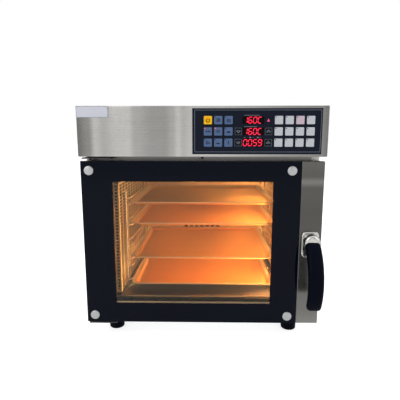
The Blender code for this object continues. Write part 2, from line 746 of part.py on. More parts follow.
def rear_panel():
    """The rear sheet with two blocks of vents and holes for the gland and the steam outlet."""
    half = INNER_HALF - SHEET - CLEARANCE
    low = (-half, REAR_PAN_FRONT, FOOT_HEIGHT)
    high = (half, REAR_PAN_BACK, OVERALL_HEIGHT - SHEET - CLEARANCE)
    panel = open_box("rear_panel", low, high, ((0, -1, 0),), SHEET, STEEL)
    spans = []
    for side in (-1, 1):
        for row in range(REAR_VENT_ROWS):
            middle = side * REAR_VENT_SPREAD / 2
            height = FAN_Z - REAR_VENT_ROWS * VENT_PITCH / 2 + row * VENT_PITCH
            spans.append((
                (middle - VENT_LENGTH / 2, REAR_PAN_BACK - OVERRUN, height),
                (middle + VENT_LENGTH / 2, REAR_PAN_BACK + OVERRUN, height + VENT_HEIGHT),
            ))
    cut_blocks(panel, "rear_vents", spans)
    start = REAR_PAN_BACK - OVERRUN
    gland_place = (HALF_WIDTH - GLAND_INSET_X, start, FOOT_HEIGHT + GLAND_HEIGHT)
    gland_hole = GLAND_RADIUS - GLAND_BORE / 2 + CLEARANCE
    cut(panel, rod("gland_hole", gland_hole, gland_place, 2 * OVERRUN, "+Y", None))
    pipe_place = (VENT_PIPE_X, start, STEAM_Z)
    pipe_hole = VENT_PIPE_RADIUS + 2 * CLEARANCE
    cut(panel, rod("steam_hole", pipe_hole, pipe_place, 2 * OVERRUN, "+Y", None))
    return panel


def front_frame():
    """The cabinet's front sheet round the chamber mouth, with slots for hinges and latch."""
    low = (-FRAME_HALF, BODY_FRONT, FOOT_HEIGHT + SHEET + CLEARANCE)
    high = (FRAME_HALF, BODY_FRONT + FRAME_RETURN, HEADER_BOTTOM + FRAME_LAP)
    frame = open_box("front_frame", low, high, ((0, 1, 0), (0, 0, -1)), SHEET, STEEL)
    mouth = CHAMBER_HALF_WIDTH + SHEET + LINER_MOUTH_GAP
    front = BODY_FRONT - OVERRUN
    back = BODY_FRONT + OVERRUN
    spans = [(
        (-mouth, front, CAVITY_FLOOR - SHEET - LINER_MOUTH_GAP),
        (mouth, back, CAVITY_TOP + SHEET + LINER_MOUTH_GAP),
    )]
    cut_blocks(frame, "chamber_mouth", spans)
    latch = [(
        (STILE_MIDDLE - LATCH_SLOT_LEFT, front, HUB_Z - LATCH_SLOT_DOWN),
        (STILE_MIDDLE + LATCH_SLOT_RIGHT, back, HUB_Z + LATCH_SLOT_UP),
    )]
    cut_blocks(frame, "latch_slot", latch)
    left = -HALF_WIDTH + HINGE_EDGE_INSET - CLEARANCE
    right = left + HINGE_PLATE_WIDTH - HINGE_EDGE_INSET + 2 * CLEARANCE
    slots = []
    for low_edge in (UPPER_PLATE_LOW, LOWER_PLATE_LOW):
        slots.append((
            (left, front, low_edge - CLEARANCE),
            (right, back, low_edge + HINGE_PLATE + CLEARANCE),
        ))
    cut_blocks(frame, "hinge_slots", slots)
    place = (0, front, SENSOR_Z)
    hole = SENSOR_RADIUS + CLEARANCE
    cut(frame, rod("sensor_hole", hole, place, 2 * OVERRUN, "+Y", None, SMALL_STEPS))
    return frame


def header_housing():
    """The control housing: a steel box open at the rear, with a window behind the overlay."""
    low = (-HALF_WIDTH, HEADER_FRONT, HEADER_BOTTOM)
    high = (HALF_WIDTH, BODY_FRONT - CLEARANCE, OVERALL_HEIGHT)
    housing = open_box("header_housing", low, high, ((0, 1, 0),), SHEET, STEEL, HEADER_EDGE)
    half_width = OVERLAY_WIDTH / 2 - OVERLAY_BACKING_MARGIN
    half_height = OVERLAY_HEIGHT / 2 - OVERLAY_BACKING_MARGIN
    spans = [(
        (OVERLAY_MIDDLE_X - half_width, HEADER_FRONT - OVERRUN, OVERLAY_MIDDLE_Z - half_height),
        (OVERLAY_MIDDLE_X + half_width, HEADER_FRONT + OVERRUN, OVERLAY_MIDDLE_Z + half_height),
    )]
    return cut_blocks(housing, "overlay_window", spans)


def display_spans(front, back, growth=0.0):
    """The three readouts, one in each row of keys, grown all round by a clearance."""
    spans = []
    for row in (1, 0, -1):
        height = KEY_MIDDLE_Z + row * KEY_ROW_PITCH
        spans.append((
            (DISPLAY_X - DISPLAY_WIDTH / 2 - growth, front,
             height - DISPLAY_HEIGHT / 2 - growth),
            (DISPLAY_X + DISPLAY_WIDTH / 2 + growth, back,
             height + DISPLAY_HEIGHT / 2 + growth),
        ))
    return spans


def key_spans(places, size):
    """Raised key pads centred on the given X places and rows."""
    spans = []
    for across, row in places:
        height = KEY_MIDDLE_Z + row * KEY_ROW_PITCH
        spans.append((
            (across - size / 2, OVERLAY_FRONT - KEY_THICKNESS, height - size / 2),
            (across + size / 2, OVERLAY_BACK - OVERLAY_THICKNESS / 2, height + size / 2),
        ))
    return spans


def control_membrane():
    """The black control panel: one film with raised key pads and windows for the readouts."""
    low = (OVERLAY_MIDDLE_X - OVERLAY_WIDTH / 2, OVERLAY_FRONT,
           OVERLAY_MIDDLE_Z - OVERLAY_HEIGHT / 2)
    high = (OVERLAY_MIDDLE_X + OVERLAY_WIDTH / 2, OVERLAY_BACK,
            OVERLAY_MIDDLE_Z + OVERLAY_HEIGHT / 2)
    membrane = block("control_membrane", low, high, OVERLAY_BLACK)
    cut_blocks(membrane, "display_windows",
               display_spans(OVERLAY_FRONT - OVERRUN, OVERLAY_BACK + OVERRUN, CLEARANCE))
    rows = (1, 0, -1)
    first_function = FUNCTION_KEY_X - (FUNCTION_COLUMNS - 1) * FUNCTION_KEY_PITCH / 2
    first_program = PROGRAM_KEY_X - (PROGRAM_COLUMNS - 1) * PROGRAM_KEY_PITCH / 2
    keys = [
        (first_function + column * FUNCTION_KEY_PITCH, row)
        for row in rows for column in range(FUNCTION_COLUMNS)
    ]
    keys += [
        (first_program + column * PROGRAM_KEY_PITCH, row)
        for row in rows for column in range(PROGRAM_COLUMNS)
    ]
    arrows = [(across, row) for across in (DOWN_KEY_X, UP_KEY_X) for row in (0, -1)]
    for name, places, size in (("keys", keys, KEY_SIZE), ("arrows", arrows, ARROW_KEY_SIZE)):
        join(membrane, blocks(name, key_spans(places, size), None))
    return membrane


def display_module():
    """The readout block: three raised windows on one carrier in front of the board."""
    back = HEADER_FRONT + BOARD_DISTANCE - CLEARANCE
    carrier_front = back - DISPLAY_CARRIER
    spans = display_spans(OVERLAY_FRONT + CLEARANCE, back)
    low = (spans[2][0][0], carrier_front, spans[2][0][2])
    high = (spans[0][1][0], back, spans[0][1][2])
    carrier = block("display_module", low, high, DISPLAY_RED)
    lenses = display_spans(OVERLAY_FRONT + CLEARANCE, back - DISPLAY_CARRIER / 2)
    return join(carrier, blocks("display_lenses", lenses, None))


def control_board():
    """The circuit board behind the membrane, on four moulded posts."""
    half_width = OVERLAY_WIDTH / 2 - BOARD_MARGIN
    half_height = OVERLAY_HEIGHT / 2 - BOARD_MARGIN
    front = HEADER_FRONT + BOARD_DISTANCE
    low = (OVERLAY_MIDDLE_X - half_width, front, OVERLAY_MIDDLE_Z - half_height)
    high = (OVERLAY_MIDDLE_X + half_width, front + BOARD_THICKNESS,
            OVERLAY_MIDDLE_Z + half_height)
    board = block("control_board", low, high, BOARD_GREEN)
    post_start = HEADER_FRONT + SHEET + CLEARANCE
    length = front + BOARD_THICKNESS / 2 - post_start
    for side in (-1, 1):
        for up in (-1, 1):
            place = (
                OVERLAY_MIDDLE_X + side * (half_width - BOARD_POST_INSET / 2),
                post_start,
                OVERLAY_MIDDLE_Z + up * (half_height - BOARD_POST_INSET / 2),
            )
            join(board, rod("board_post", BOARD_POST_RADIUS, place, length, "+Y", None,
                            SMALL_STEPS))
    return board


def badge_plate():
    """The blank plate at the top left of the control housing."""
    left = -HALF_WIDTH + BADGE_INSET
    top = OVERALL_HEIGHT - BADGE_INSET
    low = (left, OVERLAY_BACK - BADGE_THICKNESS, top - BADGE_HEIGHT)
    high = (left + BADGE_WIDTH, OVERLAY_BACK, top)
    return block("badge_plate", low, high, ALUMINIUM)


def liner():
    """The chamber: a polished box open at the front, with holes for shaft, heater and lamp."""
    wall = SHEET
    low = (-CHAMBER_HALF_WIDTH - wall, BODY_FRONT, CAVITY_FLOOR - wall)
    high = (CHAMBER_HALF_WIDTH + wall, LINER_BACK, CAVITY_TOP + wall)
    chamber = open_box("chamber_liner", low, high, ((0, -1, 0),), wall, BRIGHT)
    rear = LINER_BACK - OVERRUN
    through = 2 * OVERRUN
    hole = SHAFT_RADIUS + 2 * CLEARANCE
    cut(chamber, rod("shaft_hole", hole, (0, rear, FAN_Z), through, "+Y", None))
    tail_hole = HEATER_TUBE + 2 * CLEARANCE
    for index, (across, height) in enumerate(heater_tails()):
        tail = rod(f"heater_hole_{index}", tail_hole, (across, rear, height), through, "+Y",
                   None, SMALL_STEPS)
        cut(chamber, tail)
    pipe = VENT_PIPE_RADIUS + 2 * CLEARANCE
    pipe_place = (VENT_PIPE_X, rear, STEAM_Z)
    cut(chamber, rod("steam_liner_hole", pipe, pipe_place, through, "+Y", None))
    probe_hole = PROBE_RADIUS + CLEARANCE
    probe_place = (-PROBE_X, rear, CAVITY_FLOOR + PROBE_HEIGHT)
    cut(chamber, rod("probe_hole", probe_hole, probe_place, through, "+Y", None,
                     SMALL_STEPS))
    side = CHAMBER_HALF_WIDTH - OVERRUN
    lamp = LAMP_CUP_RADIUS + CLEARANCE
    cut(chamber, rod("lamp_hole", lamp, (side, LAMP_Y, LAMP_Z), through, "+X", None))
    return chamber


def heater_tails():
    """Where the ring heater's two ends pass through the rear wall."""
    angle = -math.pi / 2
    half = HEATER_GAP_ANGLE / 2
    return [
        (HEATER_RADIUS * math.cos(angle + sign * half),
         FAN_Z + HEATER_RADIUS * math.sin(angle + sign * half))
        for sign in (-1, 1)
    ]


def insulation():
    """The mineral wool jacket round the liner, open at the front."""
    wall = SHEET + INSULATION_GAP
    front = BODY_FRONT + FRAME_RETURN + CLEARANCE
    inner_half = CHAMBER_HALF_WIDTH + wall
    jacket = block(
        "mineral_wool_jacket",
        (-inner_half - INSULATION_THICKNESS, front, CAVITY_FLOOR - wall - INSULATION_THICKNESS),
        (inner_half + INSULATION_THICKNESS, LINER_BACK + INSULATION_THICKNESS,
         CAVITY_TOP + wall + INSULATION_THICKNESS),
        WOOL,
    )
    spans = [(
        (-inner_half, front - OVERRUN, CAVITY_FLOOR - wall),
        (inner_half, LINER_BACK + INSULATION_GAP, CAVITY_TOP + wall),
    )]
    cut_blocks(jacket, "liner_space", spans)
    rear = LINER_BACK - OVERRUN
    through = INSULATION_THICKNESS + 2 * OVERRUN
    hole = SHAFT_RADIUS + 2 * CLEARANCE
    cut(jacket, rod("wool_shaft_hole", hole, (0, rear, FAN_Z), through, "+Y", None))
    for index, (across, height) in enumerate(heater_tails()):
        tail = rod(f"wool_heater_hole_{index}", HEATER_TUBE + 2 * CLEARANCE,
                   (across, rear, height), through, "+Y", None, SMALL_STEPS)
        cut(jacket, tail)
    pipe = VENT_PIPE_RADIUS + 2 * CLEARANCE
    pipe_place = (VENT_PIPE_X, rear, STEAM_Z)
    cut(jacket, rod("wool_steam_hole", pipe, pipe_place, through, "+Y", None))
    probe_place = (-PROBE_X, rear, CAVITY_FLOOR + PROBE_HEIGHT)
    cut(jacket, rod("wool_probe_hole", PROBE_RADIUS + CLEARANCE, probe_place, through, "+Y",
                    None, SMALL_STEPS))
    side = CHAMBER_HALF_WIDTH - OVERRUN
    lamp = rod("wool_lamp_hole", LAMP_CUP_RADIUS + CLEARANCE, (side, LAMP_Y, LAMP_Z),
               INSULATION_THICKNESS + 3 * OVERRUN, "+X", None)
    return cut(jacket, lamp)


def air_panel(name, side):
    """A folded air-guide panel in front of a chamber wall; the left one is slotted."""
    front = BODY_FRONT + PANEL_FRONT_INSET
    back = BAFFLE_Y - CLEARANCE
    bottom = CAVITY_FLOOR + PANEL_HEIGHT_INSET
    top = CAVITY_TOP - PANEL_HEIGHT_INSET
    outer = side * (CHAMBER_HALF_WIDTH - CLEARANCE)
    inner = side * PANEL_X
    low = (min(inner, outer), front, bottom)
    high = (max(inner, outer), back, top)
    open_sides = ((side, 0, 0), (0, 1, 0))
    panel = open_box(name, low, high, open_sides, SHEET, BRIGHT)
    if side > 0:
        start = (PANEL_X - OVERRUN, LAMP_Y, LAMP_Z)
        hole = LAMP_LENS_RADIUS + CLEARANCE
        return cut(panel, rod("lens_hole", hole, start, 2 * OVERRUN, "+X", None))
    first_y = (front + back - (PANEL_SLOT_COLUMNS - 1) * PANEL_SLOT_PITCH_Y) / 2
    first_z = (bottom + top - (PANEL_SLOT_ROWS - 1) * PANEL_SLOT_PITCH_Z) / 2
    spans = []
    for column in range(PANEL_SLOT_COLUMNS):
        for row in range(PANEL_SLOT_ROWS):
            middle_y = first_y + column * PANEL_SLOT_PITCH_Y
            middle_z = first_z + row * PANEL_SLOT_PITCH_Z
            spans.append((
                (-PANEL_X - OVERRUN / 2, middle_y - PANEL_SLOT_LENGTH / 2,
                 middle_z - PANEL_SLOT_HEIGHT / 2),
                (-PANEL_X + OVERRUN / 2, middle_y + PANEL_SLOT_LENGTH / 2,
                 middle_z + PANEL_SLOT_HEIGHT / 2),
            ))
    return cut_blocks(panel, name + "_slots", spans)


def rear_baffle():
    """The fan cover: a folded plate with square intake holes and four welded studs."""
    half = CHAMBER_HALF_WIDTH - BAFFLE_SIDE_INSET
    low = (-half, BAFFLE_Y, CAVITY_FLOOR + BAFFLE_HEIGHT_INSET)
    high = (half, BAFFLE_Y + BAFFLE_FLANGE, CAVITY_TOP - BAFFLE_HEIGHT_INSET)
    baffle = open_box("fan_baffle", low, high, ((0, 1, 0),), SHEET, BRIGHT)
    spans = []
    for row in range(-GRILLE_SPAN, GRILLE_SPAN):
        for column in range(-GRILLE_SPAN, GRILLE_SPAN + 1):
            across = column * GRILLE_PITCH
            height = (row + 0.5) * GRILLE_PITCH
            if math.hypot(across, height) > GRILLE_RADIUS:
                continue
            spans.append((
                (across - GRILLE_HOLE / 2, BAFFLE_Y - OVERRUN / 2,
                 FAN_Z + height - GRILLE_HOLE / 2),
                (across + GRILLE_HOLE / 2, BAFFLE_Y + OVERRUN / 2,
                 FAN_Z + height + GRILLE_HOLE / 2),
            ))
    cut_blocks(baffle, "grille_holes", spans)
    start = BAFFLE_Y + SHEET / 2
    length = LINER_BACK - SHEET - CLEARANCE - start
    for side in (-1, 1):
        for up in (-1, 1):
            place = (side * BAFFLE_STUD_X, start, FAN_Z + up * BAFFLE_STUD_Z)
            join(baffle, rod("baffle_stud", BAFFLE_STUD_RADIUS, place, length, "+Y", None,
                             SMALL_STEPS))
    return baffle


def tray_rack(name, side):
    """A chromed wire rack: five pairs of runner and guide wires welded to two uprights."""
    front = BODY_FRONT + UPRIGHT_FRONT
    rear = BODY_FRONT + UPRIGHT_REAR
    bottom = CAVITY_FLOOR + RACK_FOOT
    top = CAVITY_TOP - RACK_HEAD
    outer = side * UPRIGHT_HALF_SPREAD
    inner = side * WIRE_HALF_SPREAD
    uprights = tubes(
        name,
        [[(outer, y, bottom), (outer, y, top)] for y in (front, rear)],
        WIRE_RADIUS, CHROME,
    )
    runners = []
    for level in range(RUNNER_LEVELS):
        for rise in (0, GUIDE_RISE):
            height = CAVITY_FLOOR + RUNNER_FIRST + level * RUNNER_PITCH + rise
            low = height - RUNNER_DIP
            runners.append([
                (outer, front, low),
                (inner, front + RUNNER_BEND, height),
                (inner, rear - RUNNER_BEND, height),
                (outer, rear, low),
            ])
    join(uprights, tubes(name + "_runners", runners, WIRE_RADIUS, None, 1))
    wall = side * (PANEL_X - CLEARANCE)
    studs = [
        [(outer, y, height), (wall, y, height)]
        for y in (front, rear)
        for height in (bottom + RUNNER_DIP, top - RUNNER_DIP)
    ]
    join(uprights, tubes(name + "_studs", studs, STUD_RADIUS, None, 1))
    return uprights


def tray_mesh(name):
    """A shallow pressed tray: a floor, sloping walls, a flat rim and its raised edge."""
    half_width = TRAY_HALF_WIDTH
    half_length = TRAY_LENGTH / 2
    floor_inset = TRAY_RIM + TRAY_WALL_SPREAD
    sections = (
        (floor_inset, -TRAY_DEPTH),
        (TRAY_RIM, 0),
        (0, 0),
        (0, TRAY_BEAD),
    )
    mesh = bpy.data.meshes.new(name)
    form = bmesh.new()
    loops = []
    for inset, height in sections:
        outline = rounded_rectangle(half_width - inset, half_length - inset,
                                    TRAY_CORNER - inset / 2, TRAY_CORNER_STEPS)
        loops.append([form.verts.new((x, y, height)) for x, y in outline])
    form.faces.new(loops[0])
    for inner, outer in zip(loops, loops[1:]):
        count = len(inner)
        for index in range(count):
            after = (index + 1) % count
            form.faces.new((inner[index], outer[index], outer[after], inner[after]))
    form.normal_update()
    form.to_mesh(mesh)
    form.free()
    return mesh


def tray(name, level, on_guide):
    """A tray whose rim rests on a pair of runner or guide wires."""
    rest = CAVITY_FLOOR + RUNNER_FIRST + level * RUNNER_PITCH + WIRE_RADIUS + CLEARANCE
    if on_guide:
        rest += GUIDE_RISE
    place = (0, BODY_FRONT + TRAY_FRONT + TRAY_LENGTH / 2, rest)
    piece = add_object(name, tray_mesh(name), ALUMINIUM, place)
    solidify(piece, TRAY_SHEET, 1.0)
    slide = pivot(name + "_slide", place)
    carry(slide, [piece])
    return piece


def fan_group():
    """The fan wheel on its shaft: a back plate, curved blades and a front ring."""
    back = LINER_BACK - SHEET - FAN_BAFFLE_GAP
    plate_front = back - FAN_PLATE
    front = plate_front - FAN_DEPTH
    profile = [
        (0, FAN_HUB_LENGTH),
        (FAN_HUB_RADIUS, FAN_HUB_LENGTH),
        (FAN_HUB_RADIUS, FAN_PLATE),
        (FAN_RADIUS, FAN_PLATE),
        (FAN_RADIUS, 0),
        (0, 0),
    ]
    wheel = turned("fan_wheel", profile, (0, back, FAN_Z), "-Y", ALUMINIUM, WHEEL_STEPS)
    outlines = []
    for blade in range(FAN_BLADES):
        turn = blade * 2 * math.pi / FAN_BLADES
        outlines.append(blade_outline(turn))
    middle = (0, (plate_front + front) / 2 + MERGE_DISTANCE, FAN_Z)
    depth = FAN_DEPTH + 2 * FAN_PLATE / 3
    join(wheel, plate("fan_blades", outlines, depth, facing_front(middle), None))
    ring = [
        (FAN_RADIUS, FAN_PLATE), (FAN_RADIUS, 0), (FAN_RING_INNER, 0),
        (FAN_RING_INNER, FAN_PLATE),
    ]
    join(wheel, turned("fan_ring", ring, (0, front + FAN_PLATE / 2, FAN_Z), "-Y", None,
                       WHEEL_STEPS, ring=True))
    bore = SHAFT_RADIUS + CLEARANCE
    cut(wheel, rod("fan_bore", bore, (0, back + OVERRUN, FAN_Z), FAN_HUB_LENGTH + 2 * OVERRUN,
                   "-Y", None))
    shaft_front = back - FAN_HUB_LENGTH - SHAFT_TIP
    shaft = rod("fan_shaft", SHAFT_RADIUS, (0, shaft_front, FAN_Z), SHAFT_LENGTH, "+Y",
                DARK_STEEL)
    nut_start = back - FAN_HUB_LENGTH - CLEARANCE
    nut = rod("fan_nut", NUT_RADIUS, (0, nut_start, FAN_Z), NUT_LENGTH, "-Y", BRONZE,
              NUT_SIDES)
    cut(nut, rod("nut_bore", bore, (0, nut_start + OVERRUN, FAN_Z), NUT_LENGTH + 2 * OVERRUN,
                 "-Y", None))
    spin = pivot("fan_pivot", (0, back, FAN_Z))
    carry(spin, [wheel, shaft, nut])
    return shaft_front + SHAFT_LENGTH


def blade_outline(turn):
    """A backward-curved blade seen along the shaft, as a closed band."""
    outer_side = []
    inner_side = []
    for step in range(FAN_BLADE_STEPS + 1):
        share = step / FAN_BLADE_STEPS
        radius = FAN_BLADE_INNER + (FAN_BLADE_OUTER - FAN_BLADE_INNER) * share
        angle = turn + FAN_BLADE_SWEEP * share * share
        half = FAN_BLADE_SHEET / 2 / radius
        outer_side.append((radius * math.cos(angle + half), radius * math.sin(angle + half)))
        inner_side.append((radius * math.cos(angle - half), radius * math.sin(angle - half)))
    return outer_side + inner_side[::-1]


def ring_heater():
    """A round tubular element about the fan, its ends turned back through the rear wall."""
    half = HEATER_GAP_ANGLE / 2
    start = -math.pi / 2 + half
    sweep = 2 * math.pi - 2 * half
    heater_y = LINER_BACK - SHEET - FAN_BAFFLE_GAP - FAN_DEPTH / 2
    circle = arc((0, FAN_Z), HEATER_RADIUS, start, start + sweep, HEATER_STEPS)
    route = [(across, heater_y, height) for across, height in circle]
    bend = 2 * HEATER_TUBE
    first = (route[0][0], heater_y + HEATER_TAIL, route[0][2])
    last = (route[-1][0], heater_y + HEATER_TAIL, route[-1][2])
    corner_in = (route[0][0], heater_y + bend, route[0][2])
    corner_out = (route[-1][0], heater_y + bend, route[-1][2])
    wire = [first, corner_in] + route[1:-1] + [corner_out, last]
    return tubes("ring_heater", [wire], HEATER_TUBE, DARK_STEEL)


def fan_motor(shaft_end):
    """The motor behind the jacket: stator, end bells and a square mounting plate."""
    bearing = MOTOR_BEARING_DEPTH
    front = shaft_end - bearing
    stator_top = MOTOR_LENGTH - MOTOR_BELL
    profile = [
        (0, MOTOR_LENGTH),
        (MOTOR_BELL_RADIUS, MOTOR_LENGTH),
        (MOTOR_RADIUS - MOTOR_EDGE, stator_top),
        (MOTOR_RADIUS, stator_top - MOTOR_EDGE),
        (MOTOR_RADIUS, MOTOR_BELL + MOTOR_EDGE),
        (MOTOR_RADIUS - MOTOR_EDGE, MOTOR_BELL),
        (MOTOR_BELL_RADIUS, 0),
        (0, 0),
    ]
    motor = turned("fan_motor", profile, (0, front, FAN_Z), "+Y", DARK_STEEL)
    bore = SHAFT_RADIUS + CLEARANCE
    hole = rod("motor_bore", bore, (0, front - OVERRUN, FAN_Z), bearing + OVERRUN + CLEARANCE,
               "+Y", None)
    cut(motor, hole)
    half = MOTOR_PLATE_SIZE / 2
    wool_back = LINER_BACK + INSULATION_THICKNESS + CLEARANCE
    bracket = block(
        "motor_bracket",
        (-half, wool_back, FAN_Z - half),
        (half, wool_back + MOTOR_PLATE, FAN_Z + half),
        GALVANISED,
    )
    opening = MOTOR_BELL_RADIUS + MOTOR_BELL + MOTOR_EDGE + CLEARANCE
    cut(bracket, rod("bracket_opening", opening, (0, wool_back - OVERRUN, FAN_Z),
                     3 * OVERRUN, "+Y", None))
    return front


def oven_lamp():
    """The lamp in the right wall: a cup with a socket, its bulb and its glass cover."""
    lens_face = PANEL_X - LAMP_LENS_THICKNESS / 2
    lens_profile = [
        (0, LAMP_LENS_THICKNESS),
        (LAMP_LENS_RADIUS - LAMP_LENS_EDGE, LAMP_LENS_THICKNESS),
        (LAMP_LENS_RADIUS, LAMP_LENS_THICKNESS - LAMP_LENS_EDGE),
        (LAMP_LENS_RADIUS, 0),
        (0, 0),
    ]
    back = lens_face + LAMP_LENS_THICKNESS
    turned("lamp_cover", lens_profile, (back, LAMP_Y, LAMP_Z), "-X", LAMP_GLASS)
    cup_start = back + CLEARANCE
    inner = LAMP_CUP_RADIUS - LAMP_CUP_WALL
    cup_profile = [
        (0, LAMP_CUP_DEPTH),
        (LAMP_CUP_RADIUS, LAMP_CUP_DEPTH),
        (LAMP_CUP_RADIUS, 0),
        (inner, 0),
        (inner, LAMP_CUP_DEPTH - LAMP_CUP_WALL),
        (0, LAMP_CUP_DEPTH - LAMP_CUP_WALL),
    ]
    cup = turned("lamp_cup", cup_profile, (cup_start, LAMP_Y, LAMP_Z), "+X", GALVANISED)
    floor = cup_start + LAMP_CUP_DEPTH - LAMP_CUP_WALL / 2
    join(cup, rod("lamp_socket", LAMP_SOCKET_RADIUS, (floor, LAMP_Y, LAMP_Z),
                  LAMP_SOCKET_LENGTH, "-X", None, SMALL_STEPS))
    shoulder = LAMP_BULB_RADIUS / 2
    bulb_profile = [
        (0, LAMP_BULB_LENGTH),
        (shoulder, LAMP_BULB_LENGTH - shoulder / 2),
        (LAMP_BULB_RADIUS, LAMP_BULB_LENGTH / 2),
        (shoulder, 0),
        (0, 0),
    ]
    bulb_base = floor - LAMP_SOCKET_LENGTH - CLEARANCE
    turned("lamp_bulb", bulb_profile, (bulb_base, LAMP_Y, LAMP_Z), "-X", LAMP_GLASS,
           SMALL_STEPS)


def door_gasket():
    """The silicone seal round the chamber mouth: a bead with a thinner lip inside."""
    half = CHAMBER_HALF_WIDTH + SHEET + GASKET_INSET
    middle_z = (CAVITY_FLOOR + CAVITY_TOP) / 2
    half_height = (CAVITY_TOP - CAVITY_FLOOR) / 2 + SHEET + GASKET_INSET
    thickness = DOOR_BODY_GAP - 2 * CLEARANCE
    middle_y = (DOOR_BACK + BODY_FRONT) / 2
    outer = rounded_rectangle(half + GASKET_WIDTH / 2, half_height + GASKET_WIDTH / 2,
                              GASKET_WIDTH, CORNER_STEPS)
    inner = rounded_rectangle(half - GASKET_WIDTH / 2, half_height - GASKET_WIDTH / 2,
                              GASKET_WIDTH / 2, CORNER_STEPS)
    return plate("door_gasket", [outer, inner], thickness,
                 facing_front((0, middle_y, middle_z)), SILICONE)


def hinge(name, plate_low, pin_up):
    """A hinge bracket: a leg behind the front sheet, a plate through it and a pin."""
    left = -HALF_WIDTH + HINGE_SIDE_INSET
    inner_left = -HALF_WIDTH + HINGE_EDGE_INSET
    right = -HALF_WIDTH + HINGE_PLATE_WIDTH
    leg_front = FRAME_BACK + CLEARANCE
    leg_back = leg_front + HINGE_PLATE
    plate_high = plate_low + HINGE_PLATE
    nose = block(name, (left, HINGE_Y - HINGE_PLATE_NOSE, plate_low),
                 (right, BODY_FRONT - CLEARANCE, plate_high), DARK_STEEL)
    neck = block(name + "_neck",
                 (inner_left, BODY_FRONT - CLEARANCE - HINGE_PLATE, plate_low),
                 (right, leg_back, plate_high), None)
    join(nose, neck)
    if pin_up:
        leg_low, leg_high = plate_low, plate_low + HINGE_LEG
    else:
        leg_low, leg_high = plate_high - HINGE_LEG, plate_high
    join(nose, block(name + "_leg", (inner_left, leg_front, leg_low),
                     (right, leg_back, leg_high), None))
    sink = HINGE_PLATE / 2
    if pin_up:
        start = (HINGE_X, HINGE_Y, plate_high - sink)
        pin = rod(name + "_pin", HINGE_PIN_RADIUS, start, HINGE_PIN_LENGTH + sink, "+Z", None)
    else:
        start = (HINGE_X, HINGE_Y, plate_low + sink)
        pin = rod(name + "_pin", HINGE_PIN_RADIUS, start, HINGE_PIN_LENGTH + sink, "-Z", None)
    return join(nose, pin)


def latch_strike():
    """The keeper behind the front sheet: a lipped block on a flat foot below the slot."""
    top = HUB_Z - HOOK_LENGTH - STRIKE_GAP
    front = FRAME_BACK + CLEARANCE
    middle = STILE_MIDDLE - STRIKE_WIDTH / 2 + LATCH_SLOT_RIGHT - CLEARANCE
    keeper = block(
        "latch_strike",
        (middle - STRIKE_WIDTH / 2, front, top - STRIKE_HEIGHT),
        (middle + STRIKE_WIDTH / 2, front + STRIKE_DEPTH, top),
        BRIGHT,
    )
    foot = block(
        "strike_foot",
        (middle - STRIKE_WIDTH / 2, front, top - STRIKE_HEIGHT - STRIKE_FOOT),
        (middle + STRIKE_WIDTH / 2, front + HINGE_PLATE, top - STRIKE_HEIGHT / 2),
        None,
    )
    return join(keeper, foot)


def door_sensor():
    """The reed switch that tells the control whether the door is shut."""
    start = (0, FRAME_BACK - SHEET, SENSOR_Z)
    return rod("door_sensor", SENSOR_RADIUS, start, SENSOR_LENGTH, "+Y", NYLON, SMALL_STEPS)


def feet():
    """Four tapered rubber feet."""
    profile = [
        (0, FOOT_HEIGHT - CLEARANCE),
        (FOOT_TOP_RADIUS, FOOT_HEIGHT - CLEARANCE),
        (FOOT_TOP_RADIUS, FOOT_HEIGHT - FOOT_COLLAR),
        (FOOT_TOP_RADIUS - FOOT_EDGE, FOOT_HEIGHT - FOOT_COLLAR),
        (FOOT_BOTTOM_RADIUS, FOOT_EDGE),
        (FOOT_BOTTOM_RADIUS - FOOT_EDGE, 0),
        (0, 0),
    ]
    front = BODY_FRONT + FOOT_INSET_FRONT + FOOT_TOP_RADIUS / 2
    rear = BODY_REAR - FOOT_INSET_REAR
    across = HALF_WIDTH - FOOT_INSET_X
    for row, y in (("front", front), ("rear", rear)):
        for hand, x in (("left", -across), ("right", across)):
            turned(f"foot_{row}_{hand}", profile, (x, y, 0), "+Z", RUBBER)


def cable_gland():
    """The supply cable's gland in the rear panel: a bored body with a nut on each side."""
    nut = GLAND_RADIUS
    neck = GLAND_RADIUS - GLAND_BORE / 2
    tip = GLAND_TAIL + GLAND_REACH
    outside = GLAND_TAIL - SHEET
    inside = outside - SHEET - 2 * CLEARANCE
    profile = [
        (neck, tip),
        (nut, tip - GLAND_NUT / 2),
        (nut, outside),
        (neck, outside),
        (neck, inside),
        (nut, inside),
        (nut, 0),
        (GLAND_BORE, 0),
        (GLAND_BORE, tip),
    ]
    start = (HALF_WIDTH - GLAND_INSET_X, BODY_REAR - GLAND_TAIL,
             FOOT_HEIGHT + GLAND_HEIGHT)
    return turned("cable_gland", profile, start, "+Y", NYLON, SMALL_STEPS, ring=True)


def steam_outlet():
    """A short pipe that leads steam from the chamber out through the rear panel."""
    inner = VENT_PIPE_RADIUS - VENT_PIPE_WALL
    start = LINER_BACK - SHEET
    length = BODY_REAR + VENT_PIPE_REACH - start
    profile = [
        (VENT_PIPE_RADIUS, length), (VENT_PIPE_RADIUS, 0), (inner, 0), (inner, length),
    ]
    place = (VENT_PIPE_X, start, STEAM_Z)
    return turned("steam_outlet", profile, place, "+Y", BRIGHT, ring=True)


def temperature_probe():
    """The thermostat's bulb, held in the rear wall above the fan cover's edge."""
    profile = [
        (0, PROBE_LENGTH),
        (PROBE_RADIUS, PROBE_LENGTH),
        (PROBE_RADIUS, 0),
        (0, 0),
    ]
    start = (-PROBE_X, BAFFLE_Y + BAFFLE_FLANGE, CAVITY_FLOOR + PROBE_HEIGHT)
    return turned("temperature_probe", profile, start, "+Y", BRIGHT, SMALL_STEPS)


